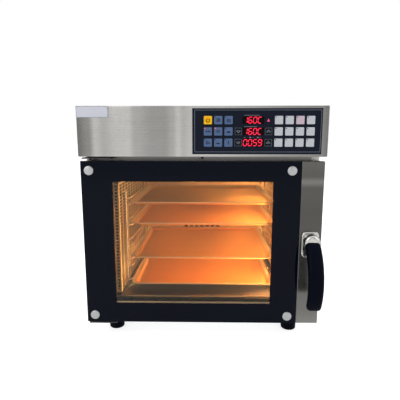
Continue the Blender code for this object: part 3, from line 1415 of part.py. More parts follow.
def cap_places():
    """The four glass fixings, as X and Z."""
    left = -HALF_WIDTH + CAP_INSET
    right = STILE_LEFT - CAP_RIGHT_INSET
    low = DOOR_BOTTOM + CAP_LOWER_INSET
    high = DOOR_TOP - CAP_UPPER_INSET
    return [(x, z) for x in (left, right) for z in (low, high)]


def door_glass():
    """The outer pane with a hole for each fixing."""
    low = (-HALF_WIDTH, GLASS_FRONT, DOOR_BOTTOM)
    high = (STILE_LEFT - STILE_SEAM, GLASS_FRONT + GLASS_THICKNESS, DOOR_TOP)
    pane = block("outer_glass", low, high, GLASS)
    for index, (x, z) in enumerate(cap_places()):
        place = (x, GLASS_FRONT - OVERRUN, z)
        cut(pane, rod(f"glass_hole_{index}", GLASS_HOLE_RADIUS, place,
                      GLASS_THICKNESS + 2 * OVERRUN, "+Y", None, SMALL_STEPS))
    return pane


def door_pan():
    """The door's steel body: a shallow box with a lipped front and a window through it."""
    low = (-HALF_WIDTH + PAN_SIDE_INSET, PAN_FRONT, DOOR_BOTTOM + PAN_SIDE_INSET)
    high = (HALF_WIDTH - PAN_SIDE_INSET, DOOR_BACK, DOOR_TOP - PAN_SIDE_INSET)
    pan = block("door_pan", low, high, STEEL)
    solidify(pan, STILE_SHEET)
    spans = [(
        (-HALF_WIDTH + PAN_LIP, PAN_FRONT - OVERRUN, DOOR_BOTTOM + PAN_TOP_LIP),
        (STILE_LEFT - PAN_TOP_LIP, PAN_FRONT + OVERRUN, DOOR_TOP - PAN_TOP_LIP),
    )]
    cut_blocks(pan, "pan_front_opening", spans)
    window = [(
        (-WINDOW_LEFT, DOOR_BACK - OVERRUN, DOOR_BOTTOM + WINDOW_SILL),
        (WINDOW_RIGHT, DOOR_BACK + OVERRUN, DOOR_BOTTOM + WINDOW_HEAD),
    )]
    cut_blocks(pan, "pan_window", window)
    hole = BUSH_RADIUS + CLEARANCE
    top = (HINGE_X, HINGE_Y, DOOR_TOP - OVERRUN)
    cut(pan, rod("upper_bush_hole", hole, top, 2 * OVERRUN, "+Z", None))
    bottom = (HINGE_X, HINGE_Y, DOOR_BOTTOM - OVERRUN)
    cut(pan, rod("lower_bush_hole", hole, bottom, 2 * OVERRUN, "+Z", None))
    spindle = SPINDLE_RADIUS + 2 * CLEARANCE
    place = (STILE_MIDDLE, PAN_FRONT - OVERRUN, HUB_Z)
    cut(pan, rod("pan_spindle_hole", spindle, place, PAN_DEPTH + 2 * OVERRUN, "+Y", None))
    return glass_pillars(pan)


def inner_glass():
    """The inner pane, which lies in the pan against the rim of its window."""
    back = DOOR_BACK - STILE_SHEET - CLEARANCE
    front = back - INNER_GLASS_THICKNESS
    lap = INNER_GLASS_LAP
    low = (-WINDOW_LEFT - lap, front, DOOR_BOTTOM + WINDOW_SILL - lap)
    high = (WINDOW_RIGHT + lap, back, DOOR_BOTTOM + WINDOW_HEAD + lap)
    return block("inner_glass", low, high, CLEAR_GLASS)


def inner_glass_frame():
    """The angled frame that presses the inner pane to the pan's rear sheet."""
    back = DOOR_BACK - STILE_SHEET - CLEARANCE
    front = back - INNER_GLASS_THICKNESS - CLEARANCE - STILE_SHEET
    lap = INNER_GLASS_LAP + CLEARANCE + STILE_SHEET
    left = -WINDOW_LEFT - lap
    right = WINDOW_RIGHT + lap
    bottom = DOOR_BOTTOM + WINDOW_SILL - lap
    top = DOOR_BOTTOM + WINDOW_HEAD + lap
    frame = block("inner_glass_frame", (left, front, bottom), (right, back, top), BRIGHT)
    wall = STILE_SHEET
    pocket = [(
        (left + wall, front + wall, bottom + wall),
        (right - wall, back + OVERRUN, top - wall),
    )]
    cut_blocks(frame, "pane_pocket", pocket)
    lip = INNER_FRAME_LIP
    sight = [(
        (left + lip, front - OVERRUN, bottom + lip),
        (right - lip, back, top - lip),
    )]
    return cut_blocks(frame, "frame_sight", sight)


def handle_stile():
    """The folded steel stile beside the glass, with the spindle's hole."""
    low = (STILE_LEFT, GLASS_FRONT, DOOR_BOTTOM)
    high = (HALF_WIDTH, PAN_FRONT - CLEARANCE, DOOR_TOP)
    stile = open_box("handle_stile", low, high, ((0, 1, 0),), STILE_SHEET, STEEL, STILE_EDGE)
    place = (STILE_MIDDLE, GLASS_FRONT - OVERRUN, HUB_Z)
    hole = SPINDLE_RADIUS + 2 * CLEARANCE
    return cut(stile, rod("stile_hole", hole, place, 2 * OVERRUN, "+Y", None))


def glass_pillars(pan):
    """Weld a pillar to the pan behind each fixing hole, its stub level with the pane."""
    pillar_back = PAN_FRONT + STILE_SHEET / 2
    pillar = pillar_back - GLASS_FRONT - GLASS_THICKNESS - CLEARANCE
    profile = [
        (0, pillar + GLASS_THICKNESS),
        (STANDOFF_STUB_RADIUS, pillar + GLASS_THICKNESS),
        (STANDOFF_STUB_RADIUS, pillar),
        (STANDOFF_RADIUS, pillar),
        (STANDOFF_RADIUS, 0),
        (0, 0),
    ]
    for index, (x, z) in enumerate(cap_places()):
        place = (x, pillar_back, z)
        join(pan, turned(f"pillar_{index}", profile, place, "-Y", None, SMALL_STEPS))
    return pan


def glass_caps():
    """The four bright caps that clamp the outer pane."""
    profile = [
        (0, CAP_THICKNESS),
        (CAP_RADIUS - CAP_EDGE, CAP_THICKNESS),
        (CAP_RADIUS, CAP_THICKNESS - CAP_EDGE),
        (CAP_RADIUS, 0),
        (0, 0),
    ]
    names = ("cap_lower_left", "cap_upper_left", "cap_lower_right", "cap_upper_right")
    return [
        turned(name, profile, (x, GLASS_FRONT - CLEARANCE, z), "-Y", CHROME)
        for name, (x, z) in zip(names, cap_places())
    ]


def door_bush(name, end, direction):
    """A flanged bronze bush in one end of the pan, bored for the hinge pin."""
    bore = BUSH_RADIUS - BUSH_WALL
    profile = [
        (BUSH_FLANGE_RADIUS, BUSH_FLANGE),
        (BUSH_FLANGE_RADIUS, 0),
        (BUSH_RADIUS, 0),
        (BUSH_RADIUS, -BUSH_LENGTH),
        (bore, -BUSH_LENGTH),
        (bore, BUSH_FLANGE),
    ]
    return turned(name, profile, (HINGE_X, HINGE_Y, end), direction, BRONZE, ring=True)


def door_magnet():
    """The magnet in the door's head, opposite the reed switch."""
    half = SENSOR_RADIUS
    back = DOOR_BACK - STILE_SHEET - CLEARANCE
    top = DOOR_TOP - PAN_SIDE_INSET - STILE_SHEET - CLEARANCE
    return block("door_magnet", (-SENSOR_LENGTH, back - half, top - SENSOR_LENGTH),
                 (SENSOR_LENGTH, back, top), DARK_STEEL)


def handle_pieces():
    """The chromed hub and rosette, the bowed grip, the spindle and its latch hook."""
    face = GLASS_FRONT - CLEARANCE
    hub_place = (STILE_MIDDLE, face, HUB_Z)
    profile = [
        (0, HUB_REACH),
        (HUB_RADIUS - HUB_EDGE, HUB_REACH),
        (HUB_RADIUS - HUB_EDGE / 4, HUB_REACH - HUB_EDGE / 4),
        (HUB_RADIUS, HUB_REACH - HUB_EDGE),
        (HUB_RADIUS, 0),
        (0, 0),
    ]
    hub = turned("handle_hub", profile, hub_place, "-Y", CHROME, 2 * ROUND_STEPS)
    middle = (STILE_MIDDLE, face - ROSETTE_THICKNESS / 2, HUB_Z - ROSETTE_DROP)
    outline = rounded_rectangle(ROSETTE_WIDTH / 2, ROSETTE_HEIGHT / 2, ROSETTE_CORNER,
                                CORNER_STEPS)
    rosette = plate("handle_rosette", [outline], ROSETTE_THICKNESS, facing_front(middle),
                    CHROME)
    hub_hole = HUB_RADIUS + CLEARANCE
    cut(rosette, rod("rosette_hole", hub_hole, (STILE_MIDDLE, face + OVERRUN, HUB_Z),
                     2 * OVERRUN, "-Y", None, 2 * ROUND_STEPS))
    grip = handle_grip(face)
    back = BODY_FRONT + SPINDLE_REACH
    spindle_front = face - HUB_REACH / 2
    spindle = rod("handle_spindle", SPINDLE_RADIUS, (STILE_MIDDLE, spindle_front, HUB_Z),
                  back - spindle_front, "+Y", DARK_STEEL)
    bore = SPINDLE_RADIUS + CLEARANCE
    cut(hub, rod("hub_bore", bore, (STILE_MIDDLE, face + OVERRUN, HUB_Z),
                 HUB_REACH / 2 + OVERRUN + CLEARANCE, "-Y", None))
    hook = latch_hook(back, bore)
    return hub, rosette, grip, spindle, hook


def handle_grip(face):
    """The black grip: a bow in side view, rounded along its edges, seated on the hub."""
    middle = (GLASS_FRONT + GRIP_ARC_INSET, DOOR_BOTTOM + GRIP_ARC_HEIGHT)
    outer_radius = GRIP_ARC_RADIUS + GRIP_THICKNESS / 2
    inner_radius = GRIP_ARC_RADIUS - GRIP_THICKNESS / 2
    steps = GRIP_STEPS_EACH_SIDE
    outline = (
        arc(middle, outer_radius, GRIP_START_ANGLE, math.pi, steps)
        + arc(middle, outer_radius, math.pi, GRIP_END_ANGLE, steps)[1:]
        + arc(middle, inner_radius, GRIP_END_ANGLE, GRIP_START_ANGLE, 2 * steps)
    )
    grip = plate("handle_grip", [outline], GRIP_WIDTH, facing_side((STILE_MIDDLE, 0, 0)),
                 GRIP_BLACK)
    bevel(grip, GRIP_EDGE, EDGE_STEPS, GRIP_EDGE_ANGLE)
    place = (STILE_MIDDLE, face + OVERRUN, HUB_Z)
    seat = rod("grip_seat", HUB_RADIUS + CLEARANCE, place, HUB_REACH + OVERRUN + CLEARANCE,
               "-Y", None, 2 * ROUND_STEPS)
    return cut(grip, seat)


def latch_hook(back, bore):
    """The hook on the spindle's end, hanging behind the front sheet."""
    half = HOOK_WIDTH / 2
    start_angle = -HOOK_BOSS_OPENING
    end_angle = math.pi + HOOK_BOSS_OPENING
    outline = arc((0, 0), HOOK_BOSS_RADIUS, start_angle, end_angle, BOSS_STEPS)
    outline += arc((0, half - HOOK_LENGTH), half, math.pi, 2 * math.pi, TIP_STEPS)
    middle = (STILE_MIDDLE, back - HOOK_THICKNESS / 2, HUB_Z)
    hook = plate("latch_hook", [outline], HOOK_THICKNESS, facing_front(middle), BRIGHT)
    start = (STILE_MIDDLE, back - HOOK_THICKNESS - OVERRUN, HUB_Z)
    return cut(hook, rod("hook_bore", bore, start, HOOK_THICKNESS + 2 * OVERRUN, "+Y", None))


def build():
    clear_scene()
    side_panel("side_panel_left", -1)
    side_panel("side_panel_right", 1)
    top_cover()
    base_pan()
    rear_panel()
    front_frame()
    header_housing()
    badge_plate()
    control_membrane()
    display_module()
    control_board()
    liner()
    insulation()
    air_panel("air_panel_left", -1)
    air_panel("air_panel_right", 1)
    rear_baffle()
    tray_rack("tray_rack_left", -1)
    tray_rack("tray_rack_right", 1)
    tray("tray_1", 4, False)
    tray("tray_2", 3, False)
    tray("tray_3", 1, True)
    tray("tray_4", 0, False)
    shaft_end = fan_group()
    ring_heater()
    fan_motor(shaft_end)
    oven_lamp()
    door_gasket()
    hinge("upper_hinge", UPPER_PLATE_LOW, False)
    hinge("lower_hinge", LOWER_PLATE_LOW, True)
    latch_strike()
    door_sensor()
    feet()
    cable_gland()
    steam_outlet()
    temperature_probe()

    door = [door_glass(), door_pan(), inner_glass(), inner_glass_frame(), handle_stile(),
            door_magnet(), door_bush("upper_bush", DOOR_TOP, "+Z"),
            door_bush("lower_bush", DOOR_BOTTOM, "-Z")]
    door += glass_caps()
    door_axis = pivot("door_pivot", (HINGE_X, HINGE_Y, DOOR_BOTTOM))
    carry(door_axis, door)
    hub, rosette, grip, spindle, hook = handle_pieces()
    carry(door_axis, [rosette])
    handle_axis = pivot("handle_pivot", (STILE_MIDDLE, GLASS_FRONT, HUB_Z))
    carry(handle_axis, [hub, grip, spindle, hook])
    carry(door_axis, [handle_axis])


build()
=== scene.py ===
"""Looks of the countertop convection oven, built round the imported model."""
import math

import bmesh
import bpy
from mathutils import Matrix, Vector

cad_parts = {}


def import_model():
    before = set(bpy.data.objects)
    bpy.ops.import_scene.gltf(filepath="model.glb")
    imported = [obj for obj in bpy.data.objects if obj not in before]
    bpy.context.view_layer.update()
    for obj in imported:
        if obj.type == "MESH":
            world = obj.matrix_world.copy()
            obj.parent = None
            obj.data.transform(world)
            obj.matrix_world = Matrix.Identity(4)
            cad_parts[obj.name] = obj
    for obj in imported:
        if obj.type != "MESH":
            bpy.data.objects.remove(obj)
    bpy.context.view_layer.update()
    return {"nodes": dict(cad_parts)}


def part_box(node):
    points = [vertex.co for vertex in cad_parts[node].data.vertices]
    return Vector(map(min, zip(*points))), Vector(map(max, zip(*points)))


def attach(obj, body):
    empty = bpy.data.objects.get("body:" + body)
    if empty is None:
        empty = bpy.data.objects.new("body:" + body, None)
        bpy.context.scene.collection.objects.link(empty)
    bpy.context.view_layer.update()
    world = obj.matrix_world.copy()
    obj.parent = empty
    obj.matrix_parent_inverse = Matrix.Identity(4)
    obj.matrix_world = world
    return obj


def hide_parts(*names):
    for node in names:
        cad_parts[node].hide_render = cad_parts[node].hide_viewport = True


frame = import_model()
NODES = frame["nodes"]

# Levels of the model, in metres
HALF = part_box("side_panel_right")[1][0]
GLASS_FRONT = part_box("outer_glass")[0][1]
GLASS_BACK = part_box("outer_glass")[1][1]
DOOR_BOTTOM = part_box("outer_glass")[0][2]
DOOR_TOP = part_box("outer_glass")[1][2]
BODY_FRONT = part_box("side_panel_right")[0][1]
BODY_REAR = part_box("side_panel_right")[1][1]
STILE_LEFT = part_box("handle_stile")[0][0]
STILE_MIDDLE = (STILE_LEFT + HALF) / 2
HUB_Z = 0.270
HUB_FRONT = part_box("handle_hub")[0][1]
CAVITY_FLOOR = 0.098
CAVITY_TOP = 0.413
SEAT_GAP = 0.0003

CAPS = ("cap_lower_left", "cap_upper_left", "cap_lower_right", "cap_upper_right")
FEET = ("foot_front_left", "foot_front_right", "foot_rear_left", "foot_rear_right")
TRAY_BODIES = {
    "tray_1": "top_tray", "tray_2": "second_tray", "tray_3": "third_tray",
    "tray_4": "bottom_tray",
}


# Materials
def feed(tree, socket, value):
    """Give an input a value, or link another node's output to it."""
    if isinstance(value, bpy.types.NodeSocket):
        tree.links.new(value, socket)
    else:
        socket.default_value = value


def added(tree, kind, **inputs):
    """A new shader node with some of its inputs fed."""
    node = tree.nodes.new("ShaderNode" + kind)
    for key, value in inputs.items():
        feed(tree, node.inputs[key.replace("_", " ")], value)
    return node


def math_node(tree, operation, *values):
    """The result of a math node on numbers or sockets."""
    node = added(tree, "Math")
    node.operation = operation
    for socket, value in zip(node.inputs, values):
        feed(tree, socket, value)
    return node.outputs[0]


def split_axes(tree, kind="Object"):
    """The coordinates of one kind as X, Y and Z sockets."""
    coordinates = added(tree, "TexCoord").outputs[kind]
    return added(tree, "SeparateXYZ", Vector=coordinates).outputs


def recolour(material, kind="MIX"):
    """A mix node put behind the base colour; its factor and second colour are left open."""
    tree = material.node_tree
    base = tree.nodes["Principled BSDF"].inputs["Base Color"]
    mix = added(tree, "Mix")
    mix.data_type = "RGBA"
    mix.blend_type = kind
    tree.links.new(base.links[0].from_socket, mix.inputs["A"])
    tree.links.new(mix.outputs["Result"], base)
    return mix


def surface(name, colour, rough, metal=0.0, layers=(), bump=0.0, distance=0.0002, **sockets):
    """A Principled material whose colour, roughness and relief vary by layers of noise.

    A layer is (grain, detail, colour gain, roughness gain, height gain). The grain is how
    fine the noise is, as one number or as one for each axis.
    """
    material = bpy.data.materials.new(name)
    material.use_nodes = True
    tree = material.node_tree
    shader = tree.nodes["Principled BSDF"]
    shader.inputs["Base Color"].default_value = (*colour, 1.0)
    shader.inputs["Roughness"].default_value = rough
    shader.inputs["Metallic"].default_value = metal
    for key, value in sockets.items():
        shader.inputs[key.replace("_", " ")].default_value = value
    material.diffuse_color = (*colour, 1.0)
    if not layers:
        return material
    coordinates = added(tree, "TexCoord").outputs["Object"]
    sums = [1.0, rough, 0.0]
    for grain, detail, *gains in layers:
        scale = (grain,) * 3 if isinstance(grain, float) else grain
        mapping = added(tree, "Mapping", Vector=coordinates, Scale=scale)
        noise = added(tree, "TexNoise", Vector=mapping.outputs[0], Scale=1.0, Detail=detail)
        centred = math_node(tree, "SUBTRACT", noise.outputs["Fac"], 0.5)
        for index, gain in enumerate(gains):
            if gain:
                part = math_node(tree, "MULTIPLY", centred, 2 * gain)
                sums[index] = math_node(tree, "ADD", part, sums[index])
    if not isinstance(sums[0], float):
        scaled = added(tree, "VectorMath")
        scaled.operation = "SCALE"
        scaled.inputs[0].default_value = colour
        tree.links.new(sums[0], scaled.inputs["Scale"])
        tree.links.new(scaled.outputs[0], shader.inputs["Base Color"])
    feed(tree, shader.inputs["Roughness"], sums[1])
    if bump and not isinstance(sums[2], float):
        relief = added(tree, "Bump", Strength=bump, Distance=distance, Height=sums[2])
        tree.links.new(relief.outputs[0], shader.inputs["Normal"])
    return material


def steel(name, along, colour=(0.39, 0.382, 0.366), rough=0.30, bands=0.08):
    """Brushed sheet whose grain runs along one axis, with broad soft bands in it."""
    fine = [900.0] * 3
    fine["XYZ".index(along)] = 9.0
    wide = [7.0] * 3
    wide["XYZ".index("Z" if along != "Z" else "X")] = 1.2
    layers = (
        (fine, 2.0, 0.05, 0.04, 1.0),
        (wide, 2.0, bands, 0.05, 0.0),
        (60.0, 4.0, 0.02, 0.03, 0.0),
    )
    return surface(name, colour, rough, 1.0, layers, 0.05, 0.00005, Anisotropic=0.5)


def graded(material, axis, stops):
    """Multiply the colour by a soft ramp along an object axis: (place in metres, share)."""
    tree = material.node_tree
    low, high = stops[0][0], stops[-1][0]
    spread = added(tree, "MapRange", Value=split_axes(tree)[axis], From_Min=low, From_Max=high)
    ramp = added(tree, "ValToRGB", Fac=spread.outputs[0])
    ramp.color_ramp.interpolation = "EASE"
    elements = ramp.color_ramp.elements
    for index, (place, share) in enumerate(stops):
        position = (place - low) / (high - low)
        inner = 0 < index < len(stops) - 1
        element = elements.new(position) if inner else elements[-1 if index else 0]
        element.color = (share, share, share, 1.0)
    mix = recolour(material, "MULTIPLY")
    mix.inputs["Factor"].default_value = 1.0
    tree.links.new(ramp.outputs["Color"], mix.inputs["B"])
    return material


STEEL_X = steel("brushed_steel_across", "X")
STEEL_Y = steel("brushed_steel_deep", "Y")
STEEL_Z = steel("brushed_steel_upright", "Z", (0.28, 0.273, 0.256), 0.27, 0.16)
# Painted reflections: the header's colour is multiplied by a ramp along X of soft upright bands,
# dark at both ends with light streaks between.
HEADER_STEEL_PAINTED_REFLECTIONS = graded(
    steel("brushed_steel_header_painted_reflections", "X", (0.45, 0.443, 0.426), 0.28, 0.05), "X",
    ((-0.300, 0.30), (-0.272, 0.48), (-0.256, 0.88), (-0.236, 0.74), (-0.205, 0.93),
     (-0.176, 0.96), (-0.160, 0.74), (-0.115, 0.62), (-0.090, 0.61), (-0.070, 0.76),
     (-0.057, 1.0), (-0.044, 0.84), (-0.030, 0.94), (0.280, 0.47), (0.300, 0.34)),
)
# Painted shade: the front frame is darker than the other steel, for the shaded gap under the
# header.
FRAME_STEEL_PAINTED_SHADE = steel("brushed_steel_frame_painted_shade", "X", (0.21, 0.206, 0.196))
# Painted reflections: the stile's colour is multiplied by a ramp along Z, light at its foot,
# darker through the middle, with a bright painted highlight band near the top.
STILE_STEEL_PAINTED_REFLECTIONS = graded(
    steel("brushed_steel_stile_painted_reflections", "Z", (0.182, 0.179, 0.168), 0.27, 0.12), "Z",
    ((0.048, 0.86), (0.090, 0.66), (0.130, 0.60), (0.140, 0.43), (0.230, 0.42),
     (0.330, 0.38), (0.402, 0.46), (0.418, 0.85), (0.432, 0.50), (0.469, 0.58)),
)
STEEL_IN = surface(
    "polished_chamber_steel", (0.70, 0.64, 0.56), 0.24, 1.0,
    ((30.0, 5.0, 0.10, 0.10, 0.0),
     ((4.0, 700.0, 700.0), 2.0, 0.05, 0.04, 1.0)), 0.08, 0.00005,
)
GALVANISED = surface(
    "galvanised_sheet", (0.50, 0.53, 0.55), 0.42, 1.0,
    ((55.0, 1.0, 0.16, 0.10, 0.0),
     (400.0, 2.0, 0.04, 0.03, 1.0)), 0.06, 0.0001,
)
CHROME = surface(
    "chrome_plate", (0.80, 0.80, 0.80), 0.10, 1.0, ((120.0, 4.0, 0.05, 0.06, 0.4),), 0.03, 0.0001,
)
CAST_CHROME = surface(
    "chromed_casting", (0.42, 0.41, 0.39), 0.22, 1.0,
    ((110.0, 3.0, 0.45, 0.12, 0.0),
     (190.0, 3.0, 0.10, 0.08, 1.0)), 0.30, 0.0003,
)
CAP_METAL = surface(
    "satin_cap_metal", (0.35, 0.36, 0.36), 0.42, 0.85, ((240.0, 4.0, 0.10, 0.10, 1.0),), 0.2,
)
BARE_ALUMINIUM = surface(
    "bare_aluminium", (0.74, 0.70, 0.66), 0.38, 0.9,
    ((25.0, 5.0, 0.12, 0.12, 0.0),
     ((500.0, 30.0, 500.0), 2.0, 0.05, 0.04, 1.0)), 0.08, 0.0001,
)
FAN_ALUMINIUM = surface(
    "cast_fan_aluminium", (0.20, 0.18, 0.16), 0.50, 0.9, ((90.0, 4.0, 0.14, 0.10, 1.0),), 0.15,
)
DARK_STEEL = surface(
    "blackened_steel", (0.035, 0.035, 0.037), 0.42, 0.7, ((160.0, 4.0, 0.25, 0.12, 1.0),), 0.15,
)
HEATER_SHEATH = surface(
    "heater_sheath", (0.16, 0.11, 0.08), 0.5, 0.7, ((70.0, 4.0, 0.35, 0.12, 1.0),), 0.2,
)
BRONZE = surface(
    "sintered_bronze", (0.17, 0.12, 0.075), 0.36, 1.0, ((300.0, 3.0, 0.12, 0.10, 1.0),), 0.15,
)
RUBBER = surface(
    "foot_rubber", (0.0016, 0.0024, 0.0060), 0.62, 0.0,
    ((260.0, 4.0, 0.30, 0.10, 1.0),), 0.25, 0.0003,
    Specular_IOR_Level=0.04,
)
SILICONE = surface(
    "seal_silicone", (0.014, 0.014, 0.015), 0.48, 0.0,
    ((200.0, 3.0, 0.20, 0.08, 1.0),), 0.15,
    Specular_IOR_Level=0.2,
)
FRAME_BLACK = surface(
    "frame_enamel", (0.010, 0.010, 0.011), 0.35, 0.0,
    ((220.0, 3.0, 0.20, 0.08, 1.0),), 0.08, 0.0001,
    Specular_IOR_Level=0.2,
)
WOOL = surface(
    "mineral_wool", (0.60, 0.55, 0.40), 0.95, 0.0,
    (((40.0, 300.0, 300.0), 6.0, 0.35, 0.0, 1.0),), 0.8, 0.003,
)
NYLON = surface(
    "black_nylon", (0.018, 0.018, 0.020), 0.46, 0.0, ((350.0, 3.0, 0.20, 0.08, 1.0),), 0.2,
)
GRIP_BLACK = surface(
    "grip_thermoset", (0.0022, 0.0032, 0.0075), 0.36, 0.0,
    ((420.0, 3.0, 0.20, 0.06, 1.0),
     (40.0, 3.0, 0.10, 0.05, 0.0)), 0.12, 0.00015,
    Specular_IOR_Level=0.02,
)
GREEN_BOARD = surface(
    "circuit_laminate", (0.02, 0.17, 0.07), 0.45, 0.0, ((150.0, 2.0, 0.30, 0.05, 0.0),),
)
PRINT_BLACK = surface(
    "printed_glass_black", (0.0014, 0.0027, 0.0085), 0.045, 0.0,
    (((9.0, 9.0, 3.0), 3.0, 0.25, 0.03, 0.0),), Specular_IOR_Level=0.06,
)
FILM_BLACK = surface(
    "membrane_film", (0.0095, 0.0130, 0.0230), 0.30, 0.0,
    ((700.0, 2.0, 0.20, 0.06, 1.0),), 0.12, 0.0001,
    Specular_IOR_Level=0.03,
)


def film(name, colour, rough, grain, uneven, raised=False):
    """A dull printed film, with a fine skin where it is raised."""
    return surface(
        name, colour, rough, 0.0, ((grain, 2.0, uneven, 0.05, float(raised)),),
        0.1 if raised else 0.0, 0.0001, Specular_IOR_Level=0.12,
    )


FILM_FRAME = film("membrane_grey_line", (0.13, 0.145, 0.175), 0.40, 600.0, 0.12)
KEY_YELLOW = film("key_film_yellow", (0.88, 0.50, 0.012), 0.38, 500.0, 0.08, True)
KEY_SLATE = film("key_film_slate", (0.085, 0.135, 0.255), 0.40, 500.0, 0.10, True)
KEY_PALE = film("key_film_pale", (0.51, 0.54, 0.575), 0.42, 500.0, 0.08, True)
KEY_PINK = film("key_film_lit", (0.56, 0.45, 0.51), 0.42, 500.0, 0.06)
ICON_DARK = film("icon_print_dark", (0.012, 0.020, 0.050), 0.45, 900.0, 0.20)
ICON_LIGHT = film("icon_print_light", (0.34, 0.37, 0.38), 0.45, 900.0, 0.15)
ICON_ORANGE = film("icon_print_orange", (0.80, 0.16, 0.01), 0.45, 900.0, 0.12)
BADGE_METAL = surface(
    "badge_aluminium", (0.48, 0.49, 0.55), 0.40, 0.35,
    (((12.0, 900.0, 900.0), 2.0, 0.05, 0.05, 1.0),), 0.06, 0.00005,
)
BADGE_LINE = surface(
    "badge_edge_line", (0.14, 0.15, 0.18), 0.45, 0.3, ((600.0, 2.0, 0.12, 0.05, 0.0),),
)
DISPLAY_DARK = surface(
    "display_window", (0.0040, 0.0008, 0.0018), 0.14, 0.0,
    ((300.0, 2.0, 0.15, 0.03, 0.0),), Specular_IOR_Level=0.06,
)
HOLE_DARK = surface(
    "hole_shadow", (0.006, 0.005, 0.005), 0.8, 0.0, ((300.0, 2.0, 0.2, 0.05, 0.0),),
)


def masked(material, other, limits):
    """Blend to another colour outside some limits, each (axis, middle, half, fade)."""
    tree = material.node_tree
    place = split_axes(tree)
    mask = None
    for axis, middle, half, fade in limits:
        offset = math_node(tree, "SUBTRACT", place[axis], middle)
        spread = added(tree, "MapRange", Value=math_node(tree, "ABSOLUTE", offset),
                       From_Min=half, From_Max=half + fade)
        spread.interpolation_type = "SMOOTHSTEP"
        outside = spread.outputs[0]
        mask = outside if mask is None else math_node(tree, "MAXIMUM", mask, outside)
    mix = recolour(material)
    tree.links.new(mask, mix.inputs["Factor"])
    mix.inputs["B"].default_value = (*other, 1.0)
    return material


# The painted reflection bands of the header and the stile end where their outer side faces begin
OUTER_FACES = (("X", 0.0, 0.2992, 0.0004),)
masked(HEADER_STEEL_PAINTED_REFLECTIONS, (0.39, 0.382, 0.366), OUTER_FACES)
masked(STILE_STEEL_PAINTED_REFLECTIONS, (0.36, 0.352, 0.336), OUTER_FACES)
SILL_METAL = surface(
    "sill_strip_steel", (0.30, 0.28, 0.26), 0.35, 0.9,
    (((20.0, 200.0, 200.0), 3.0, 0.20, 0.10, 0.0),),
)
# Painted lamp glow: the fan cover's polished steel is given a warm colour.
COVER_STEEL_PAINTED_GLOW = surface(
    "fan_cover_painted_glow", (0.66, 0.56, 0.44), 0.36, 0.8,
    ((35.0, 4.0, 0.16, 0.10, 0.0),
     ((4.0, 700.0, 700.0), 2.0, 0.05, 0.04, 1.0)), 0.06, 0.00005,
)
PANEL_STEEL = surface(
    "perforated_sheet", (0.62, 0.60, 0.60), 0.50, 0.35,
    ((45.0, 4.0, 0.30, 0.10, 0.0),
     (500.0, 2.0, 0.06, 0.04, 1.0)), 0.06, 0.00005,
)
# Painted lamp glow: the liner's base colour is a warm orange-brown that stands in for the chamber
# lamp's light.
LINER_STEEL_PAINTED_GLOW_AND_SHADE = surface(
    "chamber_liner_painted_glow_and_shade", (0.42, 0.34, 0.27), 0.40, 1.0,
    ((30.0, 5.0, 0.05, 0.03, 0.0),
     ((4.0, 700.0, 700.0), 2.0, 0.04, 0.03, 1.0)), 0.04, 0.00005,
)
# The liner's warm colour is a painted lamp glow on its walls; its floor and roof are a cooler
# grey, and painted shade darkens it at its sides, front edge and back
masked(LINER_STEEL_PAINTED_GLOW_AND_SHADE, (0.195, 0.19, 0.26), (("Z", 0.2555, 0.1565, 0.0008),))
masked(LINER_STEEL_PAINTED_GLOW_AND_SHADE, (0.006, 0.004, 0.003), (("X", 0.0, 0.2225, 0.003), ("Y", 0.0, 0.2250, 0.003)))
# The tray floors' orange is partly a baked-on brown and partly painted lamp glow; outside the
# floor the rim keeps a pale metal colour.
TRAY_METAL_TINT_AND_PAINTED_GLOW = masked(
    surface(
        "tray_aluminium_tint_and_painted_glow", (0.80, 0.50, 0.24), 0.34, 0.75,
        ((25.0, 5.0, 0.16, 0.10, 0.0),
         ((8.0, 500.0, 500.0), 2.0, 0.06, 0.04, 1.0)), 0.08, 0.0001,
    ),
    (0.78, 0.76, 0.72), (("X", 0.0, 0.1865, 0.003), ("Y", -0.014, 0.1695, 0.003)),
)


def lit(name, colour, strength):
    """A glowing lens: a slightly uneven colour, and an even glow of the same colour."""
    return surface(
        name, colour, 0.3, 0.0, ((400.0, 2.0, 0.10, 0.04, 0.0),),
        Emission_Color=(*colour, 1.0), Emission_Strength=strength,
    )


SEGMENT_RED = lit("lit_segment", (0.80, 0.006, 0.045), 0.75)
LED_RED = lit("lit_red_led", (0.80, 0.03, 0.08), 0.8)
TRIANGLE_PINK = lit("lit_triangle", (0.62, 0.06, 0.18), 0.4)
LAMP_GLOW = lit("lamp_lens_glow", (1.0, 0.62, 0.14), 4.4)
BULB_GLOW = lit("lamp_bulb_glow", (1.0, 0.70, 0.30), 9.0)


def glass(name, tint):
    """Clear pane with a low index, so that little of the white studio veils the chamber."""
    return surface(
        name, tint, 0.008, 0.0, (((14.0, 14.0, 5.0), 3.0, 0.02, 0.006, 0.0),),
        Transmission_Weight=1.0, IOR=1.24,
    )


OUTER_GLASS = glass("outer_pane_glass", (0.80, 0.69, 0.52))
INNER_GLASS = glass("inner_pane_glass", (0.90, 0.85, 0.76))

